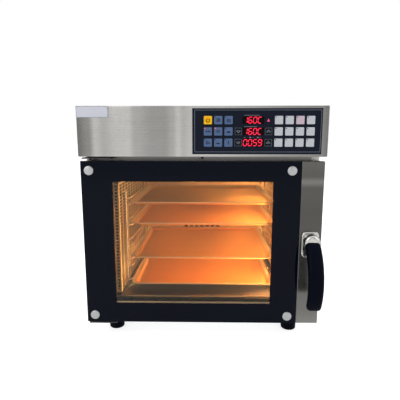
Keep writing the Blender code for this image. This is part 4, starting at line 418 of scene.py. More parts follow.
# Which nodes wear each material
WEARERS = (
    (STEEL_X, ("rear_panel",)),
    (STEEL_Y, ("side_panel_left", "side_panel_right", "top_cover")),
    (STEEL_Z, ("door_pan",)),
    (HEADER_STEEL_PAINTED_REFLECTIONS, ("header_housing",)),
    (FRAME_STEEL_PAINTED_SHADE, ("front_frame",)),
    (STILE_STEEL_PAINTED_REFLECTIONS, ("handle_stile",)),
    (STEEL_IN, ("air_panel_left", "air_panel_right", "fan_baffle", "latch_strike",
                "latch_hook", "steam_outlet", "temperature_probe")),
    (LINER_STEEL_PAINTED_GLOW_AND_SHADE, ("chamber_liner",)),
    (GALVANISED, ("base_pan", "motor_bracket", "lamp_cup")),
    (CHROME, ("tray_rack_left", "tray_rack_right")),
    (CAST_CHROME, ("handle_hub", "handle_rosette")),
    (CAP_METAL, CAPS),
    (BARE_ALUMINIUM, TRAY_BODIES),
    (FAN_ALUMINIUM, ("fan_wheel",)),
    (DARK_STEEL, ("fan_shaft", "fan_motor", "upper_hinge", "lower_hinge",
                  "handle_spindle", "door_magnet")),
    (HEATER_SHEATH, ("ring_heater",)),
    (BRONZE, ("upper_bush", "lower_bush", "fan_nut")),
    (RUBBER, FEET),
    (SILICONE, ("door_gasket",)),
    (FRAME_BLACK, ("inner_glass_frame",)),
    (WOOL, ("mineral_wool_jacket",)),
    (NYLON, ("cable_gland", "door_sensor")),
    (GRIP_BLACK, ("handle_grip",)),
    (GREEN_BOARD, ("control_board",)),
    (FILM_BLACK, ("control_membrane",)),
    (DISPLAY_DARK, ("display_module",)),
    (BADGE_METAL, ("badge_plate",)),
    (OUTER_GLASS, ("outer_glass",)),
    (INNER_GLASS, ("inner_glass",)),
    (LAMP_GLOW, ("lamp_cover",)),
    (BULB_GLOW, ("lamp_bulb",)),
)
for material, node_names in WEARERS:
    for node_name in node_names:
        node = NODES[node_name]
        for node_slot in node.material_slots:
            node_slot.material = material
        if not node.material_slots:
            node.data.materials.append(material)


# Mesh helpers
def piece_from(form, name, material, smooth=True, angle=35):
    """A new object from a bmesh, its normals outwards and its round faces smooth."""
    bmesh.ops.recalc_face_normals(form, faces=form.faces)
    mesh = bpy.data.meshes.new(name)
    form.to_mesh(mesh)
    form.free()
    mesh.materials.append(material)
    if smooth:
        mesh.shade_smooth()
        mesh.set_sharp_from_angle(angle=math.radians(angle))
    made = bpy.data.objects.new(name, mesh)
    bpy.context.scene.collection.objects.link(made)
    return made


def bridge(form, first, second, across=False):
    """Faces between two equal closed rings, begun along the first ring or across."""
    for index in range(len(first)):
        after = (index + 1) % len(first)
        if across:
            form.faces.new((first[index], second[index], second[after], first[after]))
        else:
            form.faces.new((first[index], first[after], second[after], second[index]))


def prism(form, outline, low, high):
    """Raise a closed outline of (across, up) points between two depths."""
    near = [form.verts.new((across, low, up)) for across, up in outline]
    far = [form.verts.new((across, high, up)) for across, up in outline]
    form.faces.new(near)
    form.faces.new(far[::-1])
    bridge(form, near, far, across=True)


def arc(middle, radius, start, end, steps):
    """Points along an arc, its angles in radians."""
    return [
        (middle[0] + radius * math.cos(start + (end - start) * step / steps),
         middle[1] + radius * math.sin(start + (end - start) * step / steps))
        for step in range(steps + 1)
    ]


def rounded(middle, half_width, half_height, corner, steps=5):
    """A rounded rectangle's outline."""
    points = []
    for index, (side, up) in enumerate(((1, 1), (-1, 1), (-1, -1), (1, -1))):
        centre = (middle[0] + side * (half_width - corner),
                  middle[1] + up * (half_height - corner))
        points += arc(centre, corner, index * math.pi / 2, (index + 1) * math.pi / 2, steps)
    return points


def band(form, outer, inner, low, high):
    """A frame between two outlines of equal count, facing the front."""
    rings = [
        [form.verts.new((x, depth, z)) for x, z in outline]
        for outline, depth in ((outer, low), (inner, low), (inner, high), (outer, high))
    ]
    for first, second in zip(rings, rings[1:] + rings[:1]):
        bridge(form, first, second, across=True)


def soften(piece, width, segments=2, angle=40):
    """Bevel the edges that are sharper than an angle."""
    modifier = piece.modifiers.new("soft_edges", "BEVEL")
    modifier.width = width
    modifier.segments = segments
    modifier.limit_method = "ANGLE"
    modifier.angle_limit = math.radians(angle)
    modifier.harden_normals = False


def lathe(form, profile, middle, axis, steps=48):
    """Turn (radius, height) points about a line through the middle, along Y or -Y."""
    turn = Matrix.Rotation(math.pi / 2 if axis == "-Y" else -math.pi / 2, 3, "X")
    rings = []
    for radius, height in profile:
        if radius < 1e-7:
            rings.append([form.verts.new(Vector(middle) + turn @ Vector((0, 0, height)))])
            continue
        ring = []
        for step in range(steps):
            angle = 2 * math.pi * step / steps
            point = Vector((radius * math.cos(angle), radius * math.sin(angle), height))
            ring.append(form.verts.new(Vector(middle) + turn @ point))
        rings.append(ring)
    for first, second in zip(rings, rings[1:]):
        for step in range(steps):
            after = (step + 1) % steps
            corners = [first[step % len(first)], first[after % len(first)],
                       second[after % len(second)], second[step % len(second)]]
            unique = list(dict.fromkeys(corners))
            if len(unique) > 2:
                form.faces.new(unique)


def wires(name, routes, radius, material):
    """Round wires along lists of points, as a curve object."""
    data = bpy.data.curves.new(name, "CURVE")
    data.dimensions = "3D"
    data.bevel_depth = radius
    data.bevel_resolution = 3
    data.use_fill_caps = True
    for route in routes:
        spline = data.splines.new("POLY")
        spline.points.add(len(route) - 1)
        for point, place in zip(spline.points, route):
            point.co = (*place, 1)
        spline.use_smooth = True
    data.materials.append(material)
    made = bpy.data.objects.new(name, data)
    bpy.context.scene.collection.objects.link(made)
    return made


def bend_route(points, radius, steps=5):
    """Round the corners of a route of points."""
    points = [Vector(point) for point in points]
    route = [points[0]]
    for before, corner, after in zip(points, points[1:], points[2:]):
        to_before = (before - corner).normalized()
        to_after = (after - corner).normalized()
        reach = min(radius, (before - corner).length / 2, (after - corner).length / 2)
        start = corner + to_before * reach
        end = corner + to_after * reach
        for step in range(steps + 1):
            share = step / steps
            first = start.lerp(corner, share)
            second = corner.lerp(end, share)
            route.append(first.lerp(second, share))
    route.append(points[-1])
    return route


# Door glass
PANE_LEFT = -HALF
PANE_RIGHT = STILE_LEFT - 0.0006
SIGHT_LEFT, SIGHT_RIGHT = -0.222, 0.175
SIGHT_LOW, SIGHT_HIGH = DOOR_BOTTOM + 0.053, DOOR_BOTTOM + 0.370


def pane_frame():
    """The printed border of the outer pane: opaque black glass with a sight opening."""
    form = bmesh.new()
    middle = ((PANE_LEFT + PANE_RIGHT) / 2, (DOOR_BOTTOM + DOOR_TOP) / 2)
    outer = rounded(middle, (PANE_RIGHT - PANE_LEFT) / 2, (DOOR_TOP - DOOR_BOTTOM) / 2, 0.002)
    sight_middle = ((SIGHT_LEFT + SIGHT_RIGHT) / 2, (SIGHT_LOW + SIGHT_HIGH) / 2)
    inner = rounded(sight_middle, (SIGHT_RIGHT - SIGHT_LEFT) / 2,
                    (SIGHT_HIGH - SIGHT_LOW) / 2, 0.0015)
    band(form, outer, inner, GLASS_FRONT, GLASS_BACK)
    border = piece_from(form, "outer_pane_border", PRINT_BLACK, smooth=False)
    soften(border, 0.0004)
    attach(border, "door")
    form = bmesh.new()
    inset = 0.0001
    clear = rounded(sight_middle, (SIGHT_RIGHT - SIGHT_LEFT) / 2 - inset,
                    (SIGHT_HIGH - SIGHT_LOW) / 2 - inset, 0.0014)
    prism(form, clear, GLASS_FRONT + inset, GLASS_BACK - inset)
    window = piece_from(form, "outer_pane_window", OUTER_GLASS, smooth=False)
    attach(window, "door")
    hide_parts("outer_glass")
    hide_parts("outer_glass")


pane_frame()


def pane_caps():
    """Domed caps with a turned edge over the pane's four fixings."""
    shape = (
        (0.0, 0.98), (0.34, 0.96), (0.68, 0.85), (0.88, 0.70), (0.968, 0.52), (1.0, 0.30),
        (1.0, 0.0), (0.0, 0.0),
    )
    for name in CAPS:
        low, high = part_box(name)
        x, z = (low[0] + high[0]) / 2, (low[2] + high[2]) / 2
        radius, height = (high[0] - low[0]) / 2, high[1] - low[1]
        profile = [(radius * out, height * up) for out, up in shape]
        form = bmesh.new()
        lathe(form, profile, (x, high[1], z), "-Y", 40)
        cap = piece_from(form, "domed_" + name, CAP_METAL)
        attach(cap, "door")
        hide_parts(name)


pane_caps()


# Handle
def grip():
    """The bowed grip: a rounded section swept along an arc, eased at its ends, which
    narrows a little towards the lower one."""
    centre_y, centre_z, radius = GLASS_FRONT + 0.046, DOOR_BOTTOM + 0.1238, 0.116
    start, end = math.radians(125.2), math.radians(209.6)
    steps = 44
    half_width, half_thick = 0.0187, 0.0109
    easing, taper_start, taper_share = 0.010, 0.35, 0.055
    form = bmesh.new()
    rings = []
    for step in range(steps + 1):
        share = step / steps
        angle = start + (end - start) * share
        near_end = min(share, 1 - share) * (end - start) * radius
        ease = min(1.0, near_end / easing)
        swell = math.sqrt(max(0.0, 1 - (1 - ease) ** 2))
        taper = 1.0 - taper_share * max(0.0, share - taper_start) / (1 - taper_start)
        width = half_width * (0.80 + 0.20 * swell) * taper
        thick = half_thick * (0.62 + 0.38 * swell)
        outward = Vector((0, math.cos(angle), math.sin(angle)))
        middle = Vector((STILE_MIDDLE, centre_y, centre_z)) + outward * radius
        ring = []
        for across, out in rounded((0, 0), width, thick, min(0.0095, thick * 0.86), 6):
            ring.append(form.verts.new(middle + Vector((across, 0, 0)) + outward * out))
        rings.append(ring)
    for first, second in zip(rings, rings[1:]):
        bridge(form, first, second)
    form.faces.new(rings[0])
    form.faces.new(rings[-1][::-1])
    made = piece_from(form, "bowed_grip", GRIP_BLACK, angle=60)
    soften(made, 0.002, 3, 50)
    return made


def hub():
    """The turned hub: a neck with a rounded shoulder and a shallow groove at its foot."""
    foot = GLASS_FRONT - SEAT_GAP
    reach = foot - HUB_FRONT
    profile = [
        (0.0, reach), (0.0118, reach), (0.0148, reach - 0.0004), (0.0173, reach - 0.0016),
        (0.0190, reach - 0.0036), (0.0198, reach - 0.0060), (0.0200, reach - 0.0085),
        (0.0200, 0.0062), (0.0193, 0.0055), (0.0193, 0.0046), (0.0200, 0.0039),
        (0.0200, 0.0), (0.0, 0.0),
    ]
    form = bmesh.new()
    lathe(form, profile, (STILE_MIDDLE, foot, HUB_Z), "-Y", 72)
    return piece_from(form, "turned_hub", CAST_CHROME)


def rosette():
    """The hub's cast base plate with softly domed edges and a bore for the hub."""
    middle = (STILE_MIDDLE, HUB_Z - 0.010)
    levels = ((0.0, 0.0), (0.0, -0.0014), (0.0009, -0.0024), (0.0026, -0.0030))
    face = GLASS_FRONT - SEAT_GAP
    bore_radius, corner_steps = 0.0203, 15
    form = bmesh.new()
    rings = []
    for inset, depth in levels:
        outline = rounded(middle, 0.0214 - inset, 0.033 - inset, 0.010 - inset, corner_steps)
        rings.append([form.verts.new((x, face + depth, z)) for x, z in outline])
    count = len(rings[0])
    turns = [2 * math.pi * index / count for index in range(count)]
    hole = [(STILE_MIDDLE + bore_radius * math.cos(turn), HUB_Z + bore_radius * math.sin(turn))
            for turn in turns]
    for first, second in zip(rings, rings[1:]):
        bridge(form, first, second)
    top_hole = [form.verts.new((x, face - 0.0030, z)) for x, z in hole]
    low_hole = [form.verts.new((x, face, z)) for x, z in hole]
    bridge(form, rings[-1], top_hole, across=True)
    bridge(form, rings[0], low_hole, across=True)
    bridge(form, top_hole, low_hole)
    return piece_from(form, "cast_rosette", CAST_CHROME, angle=50)


grip_piece = grip()
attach(grip_piece, "handle")
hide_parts("handle_grip")
hub_piece = hub()
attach(hub_piece, "handle")
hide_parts("handle_hub")
rosette_piece = rosette()
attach(rosette_piece, "door")
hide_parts("handle_rosette")


# Control panel
PAD_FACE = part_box("control_membrane")[0][1]
FILM_FACE = PAD_FACE + 0.0008
ROWS = (0.5663, 0.5400, 0.5137)
FUNCTION_X = (0.0139, 0.0384, 0.0629)
PROGRAM_X = (0.1812, 0.2062, 0.2312, 0.2562)
ARROW_X = (0.0862, 0.1573)
TILE_HALF, TILE_CORNER, TILE_THICKNESS = 0.0096, 0.0018, 0.00025
TILE_FACE = PAD_FACE - 0.00026
THIN, PLAIN, BROAD, BOLD = 0.0009, 0.0014, 0.0017, 0.0018


def flat_piece(name, outlines, low, high, material):
    """Thin prisms from closed outlines, printed on the cabinet's front."""
    form = bmesh.new()
    for outline in outlines:
        prism(form, outline, low, high)
    made = piece_from(form, name, material, smooth=False)
    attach(made, "cabinet")


def tile_set(name, places, material):
    """Rounded printed tiles on the raised pads."""
    outlines = [rounded(place, TILE_HALF, TILE_HALF, TILE_CORNER, 4) for place in places]
    flat_piece(name, outlines, PAD_FACE - TILE_THICKNESS, PAD_FACE - 0.00002, material)


def strips(name, outlines, material, face, thick=0.00012):
    """Thin printed marks on a face."""
    flat_piece(name, outlines, face - thick, face - 0.00001, material)


def stroke(points, width):
    """A flat stroke along a polyline, as one outline for each leg."""
    outlines = []
    for (x0, z0), (x1, z1) in zip(points, points[1:]):
        length = math.hypot(x1 - x0, z1 - z0)
        along_x, along_z = (x1 - x0) / length, (z1 - z0) / length
        side_x, side_z = -along_z * width / 2, along_x * width / 2
        end_x, end_z = along_x * width / 2, along_z * width / 2
        outlines.append([
            (x0 - end_x + side_x, z0 - end_z + side_z), (x0 - end_x - side_x, z0 - end_z - side_z),
            (x1 + end_x - side_x, z1 + end_z - side_z), (x1 + end_x + side_x, z1 + end_z + side_z),
        ])
    return outlines


def level(x, z, reach, width=PLAIN):
    """A level stroke about a point."""
    return stroke([(x - reach, z), (x + reach, z)], width)


def upright(x, start, end, width=PLAIN):
    """An upright stroke between two heights."""
    return stroke([(x, start), (x, end)], width)


def circle(middle, radius, width, start=0.0, end=360.0, steps=20):
    """A round stroke, or part of one, its angles in degrees."""
    return stroke(arc(middle, radius, math.radians(start), math.radians(end), steps), width)


def dish(x, low, high, foot, head):
    """The outline of a flat dish."""
    return [(x - foot, low), (x + foot, low), (x + head, high), (x - head, high)]


def small_square(x, z, half, tall=None, corner=0.0004):
    """The outline of a small rounded mark."""
    return rounded((x, z), half, tall or half, corner, 2)


def key_tiles():
    """The tiles of the function keys at the left and the program keys at the right."""
    grid = [(x, z) for z in ROWS for x in FUNCTION_X]
    tile_set("power_tile", grid[:1], KEY_YELLOW)
    tile_set("function_tiles", grid[1:], KEY_SLATE)
    pale = [(x, z) for z in ROWS for x in PROGRAM_X]
    lit_one = pale.pop(2)
    tile_set("program_tiles", pale, KEY_PALE)
    tile_set("program_tile_lit", [lit_one], KEY_PINK)


def panel_line():
    """The grey line round the panel."""
    form = bmesh.new()
    middle = (0.1316, 0.5407)
    outer = rounded(middle, 0.1496, 0.0495, 0.0012, 3)
    inner = rounded(middle, 0.1484, 0.0483, 0.0008, 3)
    band(form, outer, inner, FILM_FACE - 0.0001, FILM_FACE - 0.00001)
    line = piece_from(form, "panel_grey_line", FILM_FRAME, smooth=False)
    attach(line, "cabinet")


def key_pictures():
    """Generic pictures on the nine function keys."""
    left, middle, right = FUNCTION_X
    top, centre, low = ROWS
    strips("power_mark", circle((left, top - 0.0006), 0.0040, BOLD, 125, 415)
           + upright(left, top + 0.0008, top + 0.0050, BOLD), ICON_ORANGE, TILE_FACE)
    marks = []
    for step in (-0.0030, 0.0, 0.0030):
        marks += level(middle, top + step, 0.0038)
        marks += upright(middle + step, top - 0.0036, top + 0.0036, THIN)
    for step in (-0.0034, 0.0, 0.0034):
        x = right + step
        marks += stroke([(x - 0.001, top - 0.0022), (x + 0.0008, top),
                         (x - 0.0006, top + 0.0026)], PLAIN)
    marks += level(right, top - 0.0042, 0.0050)
    for tail, tip in ((-0.0048, 0.0004), (0.0004, 0.0050)):
        marks.append([(left + tail, centre + 0.0026), (left + tail, centre - 0.0030),
                      (left + tip, centre - 0.0002)])
    marks += upright(left + 0.0052, centre + 0.0026, centre - 0.0030)
    for rise in (0.0016, -0.0016):
        marks += level(middle, centre + rise, 0.0036, BROAD)
    marks.append(dish(right, centre - 0.0036, centre + 0.0004, 0.0050, 0.0036))
    marks += circle((left - 0.0016, low), 0.0026, PLAIN)
    marks += circle((left + 0.0040, low - 0.0014), 0.0011, THIN, steps=12)
    marks.append(dish(middle, low - 0.0034, low - 0.0006, 0.0050, 0.0038))
    marks += circle((right, low - 0.0018), 0.0018, THIN, steps=14)
    marks += upright(right, low - 0.0002, low + 0.0044, BROAD)
    strips("function_marks", marks, ICON_DARK, TILE_FACE)


def key_lamps():
    """A small lamp in each key's corner; the first, fourth and fifth are lit."""
    half = 0.0012
    lamps = [small_square(x - 0.0072, z + 0.0072, half) for z in ROWS for x in FUNCTION_X]
    lit_lamps = [lamps[index] for index in (0, 3, 4)]
    dark = [lamps[index] for index in (1, 2, 5, 6, 7, 8)]
    dark += [small_square(x - 0.0070, z + 0.0070, half) for z in ROWS for x in PROGRAM_X]
    strips("key_leds_lit", lit_lamps, LED_RED, TILE_FACE)
    strips("key_leds_dark", dark, ICON_DARK, TILE_FACE)


def arrow_keys():
    """Boxes with a roof-shaped arrow, pointing down at the left and up at the right."""
    outlines = []
    half = 0.0080
    for x, direction in zip(ARROW_X, (-1, 1)):
        for z in ROWS[1:]:
            box = [(x - half, z - half), (x + half, z - half), (x + half, z + half),
                   (x - half, z + half), (x - half, z - half)]
            outlines += stroke(box, 0.00026)
            tip = z + direction * 0.0032
            base = z - direction * 0.0014
            arrow = [(x - 0.0046, base), (x, tip), (x + 0.0046, base), (x + 0.0024, base),
                     (x - 0.0024, base), (x - 0.0046, base)]
            outlines += stroke(arrow, 0.0007)
    strips("arrow_marks", outlines, ICON_LIGHT, PAD_FACE - 0.00001)


def scale_marks():
    """Rows of dashes and dots over the readouts, and the triangle beside the first."""
    marks = []
    for row, right in ((0, 0.137), (1, 0.128)):
        x = 0.100
        while x < right:
            z = ROWS[row] + 0.0112
            marks += stroke([(x, z), (x + 0.0022, z)], 0.0006)
            x += 0.0034
    dots = ROWS[2] + 0.0122
    for x in (0.1145, 0.1325):
        marks.append(small_square(x, dots, 0.0016, 0.0009))
    for x in (0.1015, 0.1215, 0.1375):
        marks.append(small_square(x, dots, 0.0006, corner=0.0003))
    strips("scale_marks", marks, ICON_LIGHT, FILM_FACE)
    x, z = ARROW_X[1] - 0.0006, ROWS[0]
    strips("ready_triangle", [[(x - 0.0034, z - 0.0034), (x + 0.0034, z - 0.0034),
                               (x, z + 0.0036)]], TRIANGLE_PINK, FILM_FACE)


key_tiles()
panel_line()
key_pictures()
key_lamps()
arrow_keys()
scale_marks()

SEGMENTS = {
    "0": "abcdef", "1": "bc", "5": "afgcd", "6": "afgedc", "9": "abcdfg", "C": "afed",
}
# The ends of each bar, in half widths and half heights of a figure
BARS = {
    "a": ((-1, 1), (1, 1)), "b": ((1, 1), (1, 0)), "c": ((1, 0), (1, -1)),
    "d": ((-1, -1), (1, -1)), "e": ((-1, 0), (-1, -1)), "f": ((-1, 1), (-1, 0)),
    "g": ((-1, 0), (1, 0)),
}


def digit_shapes(text, left, middle_z, width, height, pitch):
    """The lit and the unlit bars of slanted seven-segment figures, each a hexagon."""
    slant, thick, gap_share = 0.11, height * 0.150, 0.22
    bright, dark = [], []
    for index, figure in enumerate(text):
        middle_x = left + index * pitch + width / 2
        for key, ends in BARS.items():
            start, end = (Vector((x * width / 2, z * height / 2)) for x, z in ends)
            along = (end - start).normalized()
            side = Vector((-along.y, along.x)) * thick / 2
            gap = along * thick * gap_share
            tip = along * thick / 2
            start, end = start + gap, end - gap
            outline = [start, start + tip - side, end - tip - side, end, end - tip + side,
                       start + tip + side]
            bars = bright if key in SEGMENTS[figure] else dark
            bars.append([(middle_x + corner.x + corner.y * slant, middle_z + corner.y)
                         for corner in outline])
    return bright, dark


def displays():
    """Figures on the three readouts: two temperatures and a time."""
    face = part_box("display_module")[0][1]
    lit_bars, dark_bars = [], []
    for text, left, row, width, pitch, height in (
        ("160C", 0.0992, 0, 0.0078, 0.0112, 0.0140),
        ("160C", 0.0992, 1, 0.0078, 0.0112, 0.0140),
        ("0059", 0.0985, 2, 0.0082, 0.0117, 0.0144),
    ):
        bars, rest = digit_shapes(text, left, ROWS[row], width, height, pitch)
        lit_bars += bars
        dark_bars += rest
    strips("lit_figures", lit_bars, SEGMENT_RED, face, 0.00012)
    strips("unlit_figures", dark_bars, DISPLAY_DARK, face, 0.00008)


displays()


def badge_line():
    """The thin dark edge of the blank plate."""
    low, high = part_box("badge_plate")
    middle = ((low[0] + high[0]) / 2, (low[2] + high[2]) / 2)
    half_w, half_h = (high[0] - low[0]) / 2, (high[2] - low[2]) / 2
    form = bmesh.new()
    outer = rounded(middle, half_w - 0.0004, half_h - 0.0004, 0.0008, 3)
    inner = rounded(middle, half_w - 0.0012, half_h - 0.0012, 0.0005, 3)
    band(form, outer, inner, low[1] - 0.00012, low[1] - 0.00001)
    line = piece_from(form, "badge_edge", BADGE_LINE, smooth=False)
    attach(line, "cabinet")


badge_line()


# Chamber
def edge_lines(low, high, middle, count, pitch, size):
    """Grid lines from one sheet edge to the other, every second gap being a hole."""
    lines = [low]
    for index in range(count):
        centre = middle + (index - (count - 1) / 2) * pitch
        lines += [centre - size / 2, centre + size / 2]
    return lines + [high]


def holed_sheet(name, material, lines, place, rear, sides, gauge=0.0012, drilled=None):
    """A sheet with a grid of holes and folded sides.

    Place puts (across, up) on its face, and rear takes an edge point to its fold's back.
    """
    columns, rows = lines
    form = bmesh.new()
    grid = [[form.verts.new(place(across, up)) for up in rows] for across in columns]
    for i in range(len(columns) - 1):
        for j in range(len(rows) - 1):
            middle = ((columns[i] + columns[i + 1]) / 2, (rows[j] + rows[j + 1]) / 2)
            if i % 2 and j % 2 and (drilled is None or drilled(*middle)):
                continue
            form.faces.new((grid[i][j], grid[i][j + 1], grid[i + 1][j + 1], grid[i + 1][j]))
    edges = {
        "low": [column[0] for column in grid], "high": [column[-1] for column in grid],
        "start": grid[0], "end": grid[-1],
    }
    shared = {}

    def folded(vert):
        key = tuple(round(value, 6) for value in vert.co)
        if key not in shared:
            shared[key] = form.verts.new(rear(vert.co))
        return shared[key]

    for side in sides:
        for first, second in zip(edges[side], edges[side][1:]):
            form.faces.new((first, second, folded(second), folded(first)))
    made = piece_from(form, name, material, smooth=False)
    sheet = made.modifiers.new("sheet", "SOLIDIFY")
    sheet.thickness = gauge
    sheet.offset = -1.0
    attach(made, "cabinet")
    return made


def perforated_panel():
    """The left air panel with its full field of small slots and folded edges."""
    low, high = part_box("air_panel_left")
    lines = (
        edge_lines(low[1], high[1], (low[1] + high[1]) / 2, 10, 0.0380, 0.0275),
        edge_lines(low[2], high[2], (low[2] + high[2]) / 2, 33, 0.0089, 0.0061),
    )
    face = holed_sheet(
        "perforated_air_panel", PANEL_STEEL, lines,
        lambda across, up: (high[0], across, up), lambda point: (low[0], point.y, point.z),
        ("low", "high"), gauge=0.0005,
    )
    lines = (edge_lines(low[0], high[0], (low[0] + high[0]) / 2, 1, 0.0064, 0.0066), lines[1])
    front = holed_sheet(
        "perforated_front_return", PANEL_STEEL, lines,
        lambda across, up: (across, low[1], up), lambda point: point, (), gauge=0.0005,
    )
    for made in (face, front):
        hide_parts("air_panel_left")


def fan_cover():
    """The pressed cover before the fan, with a round field of square holes."""
    low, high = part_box("fan_baffle")
    middle_z, field_radius = (low[2] + high[2]) / 2, 0.088
    lines = (
        edge_lines(low[0], high[0], -0.007, 7, 0.0196, 0.0130),
        edge_lines(low[2], high[2], middle_z, 8, 0.0210, 0.0135),
    )
    made = holed_sheet(
        "pressed_fan_cover", COVER_STEEL_PAINTED_GLOW, lines,
        lambda across, up: (across, low[1], up),
        lambda point: (point.x, high[1] - 0.0005, point.z),
        ("low", "high", "start", "end"),
        drilled=lambda across, up: math.hypot(across, up - middle_z) < field_radius,
    )
    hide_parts("fan_baffle")


fan_cover()
perforated_panel()


def tray(node, body):
    """A pressed tray: rolled edge, flat rim, drawn wall and a floor with a shallow step."""
    low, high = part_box(node)
    rim = low[2] + 0.010
    middle = ((low[0] + high[0]) / 2, (low[1] + high[1]) / 2)
    half_x, half_y = (high[0] - low[0]) / 2, (high[1] - low[1]) / 2
    sheet, bead = 0.0012, 0.0017
    # Points of the profile are (inset from the outline, height over the rim's underside)
    roll = [
        (bead - bead * math.cos(angle), sheet / 2 + 0.0006 + bead * math.sin(angle))
        for angle in [math.radians(step * 30) for step in range(-4, 6)]
    ]
    upper = [
        (0.0046, sheet), (0.0098, sheet), (0.0112, sheet - 0.0005), (0.0120, -0.0007),
        (0.0158, -0.0051), (0.0170, -0.0060), (0.0186, -0.0062),
        (0.0240, -0.0062), (0.0256, -0.0055), (0.0275, -0.0053),
    ]
    lower = [(inset - 0.0004, height - sheet) for inset, height in upper[::-1]]
    lower[-1] = (0.0046, 0.0)
    profile = roll + upper
    form = bmesh.new()

    def ring(inset, height):
        outline = rounded(middle, half_x - inset, half_y - inset,
                          max(0.004, 0.022 - inset * 0.6), 9)
        return [form.verts.new((x, y, rim + height)) for x, y in outline]

    rings = [ring(*point) for point in profile]
    under = [ring(*point) for point in lower]
    # A known fault, kept with the shape: from the last upper ring on, each ring is
    # joined to the next but one, which leaves open edges on the underside
    for first, second in zip(rings + under, rings[1:] + under[1:]):
        bridge(form, first, second)
    bridge(form, under[-1], rings[0])
    form.faces.new(rings[-1])
    form.faces.new(under[0][::-1])
    made = piece_from(form, "pressed_" + node, TRAY_METAL_TINT_AND_PAINTED_GLOW, angle=40)
    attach(made, body)
    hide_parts(node)


for tray_node, tray_body in TRAY_BODIES.items():
    tray(tray_node, tray_body)


def mouth_trim():
    """The rolled lip round the chamber's mouth and the strip along the outer pane's sill."""
    side, depth = 0.2362, BODY_FRONT - 0.0012
    low, high = CAVITY_FLOOR - 0.0006, CAVITY_TOP + 0.0006
    lip = wires("chamber_lip", [[
        (-side, depth, low), (side, depth, low), (side, depth, high), (-side, depth, high),
        (-side, depth, low),
    ]], 0.0009, CHROME)
    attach(lip, "cabinet")
    form = bmesh.new()
    sill = [(SIGHT_LEFT, SIGHT_LOW - 0.0008), (SIGHT_RIGHT, SIGHT_LOW - 0.0008),
            (SIGHT_RIGHT, SIGHT_LOW + 0.0030), (SIGHT_LEFT, SIGHT_LOW + 0.0030)]
    prism(form, sill, GLASS_BACK + 0.0002, GLASS_BACK + 0.0010)
    strip = piece_from(form, "pane_sill_strip", SILL_METAL, smooth=False)
    soften(strip, 0.0002)
    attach(strip, "door")


mouth_trim()


def rack(side, name, node):
    """A welded wire rack: uprights, bent runner and guide wires, cross studs."""
    front, rear = BODY_FRONT + 0.028, BODY_FRONT + 0.382
    outer, inner = side * 0.2065, side * 0.1935
    bottom, top = CAVITY_FLOOR + 0.010, CAVITY_TOP - 0.030
    shelf_pitch, guide_rise, bend = 0.0577, 0.0185, 0.006
    routes = [[(outer, y, bottom), (outer, y, top)] for y in (front, rear)]
    for shelf in range(5):
        for rise in (0.0, guide_rise):
            z = CAVITY_FLOOR + 0.020 + shelf * shelf_pitch + rise
            routes.append(bend_route([
                (outer, front, z - bend), (inner, front + bend, z),
                (inner, rear - bend, z), (outer, rear, z - bend),
            ], 0.004))
    made = wires(name, routes, 0.0025, CHROME)
    studs = wires(name + "_studs", [
        [(outer, y, z), (side * 0.2217, y, z)]
        for y in (front, rear) for z in (bottom + 0.006, top - 0.006)
    ], 0.002, CHROME)
    for part in (made, studs):
        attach(part, "cabinet")
        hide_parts(node)


rack(-1, "wire_rack_left", "tray_rack_left")
rack(1, "wire_rack_right", "tray_rack_right")


# Fasteners on the outside
def screws():
    """Pan-head screws with a cross recess along the rear panel's edges."""
    places = []
    for side in (-1, 1):
        for z in (0.075, 0.320, 0.565):
            places.append((side * 0.290, BODY_REAR, z))
    for x in (-0.20, 0.0, 0.20):
        places.append((x, BODY_REAR - 0.0018, 0.583))
    form = bmesh.new()
    cross = bmesh.new()
    profile = [(0.0, 0.00085), (0.0024, 0.0008), (0.0034, 0.0005), (0.0038, 0.00002),
               (0.0, 0.00002)]
    for place in places:
        lathe(form, profile, place, "Y", 20)
    made = piece_from(form, "panel_screws", CHROME)
    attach(made, "cabinet")
    turn = Matrix.Rotation(-math.pi / 2, 3, "X")
    for place in places:
        for rise, size in ((0.00088, (0.0006, 0.0030, 0.0001)),
                           (0.00090, (0.0030, 0.0006, 0.0001))):
            centre = Vector(place) + turn @ Vector((0, 0, rise))
            matrix = Matrix.Translation(centre) @ turn.to_4x4() @ Matrix.Diagonal((*size, 1))
            bmesh.ops.create_cube(cross, size=1, matrix=matrix)
    recess = piece_from(cross, "screw_recesses", HOLE_DARK, smooth=False)
    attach(recess, "cabinet")


screws()

# Softer edges on the carried-over sheets, film, plate and hinges
for node_name, width in (
    ("header_housing", 0.0006), ("handle_stile", 0.0005), ("top_cover", 0.0004),
    ("side_panel_left", 0.0004), ("side_panel_right", 0.0004), ("control_membrane", 0.0002),
    ("badge_plate", 0.0002), ("upper_hinge", 0.0004), ("lower_hinge", 0.0004),
):
    soften(NODES[node_name], width, 2, 50)


# Stage, lights and camera
def seen_directly(tree):
    """One for camera, glossy and transmitted rays, so metal and glass show the white too."""
    path = added(tree, "LightPath")
    result = path.outputs["Is Camera Ray"]
    for kind in ("Is Glossy Ray", "Is Transmission Ray"):
        result = math_node(tree, "MAXIMUM", result, path.outputs[kind])
    return result


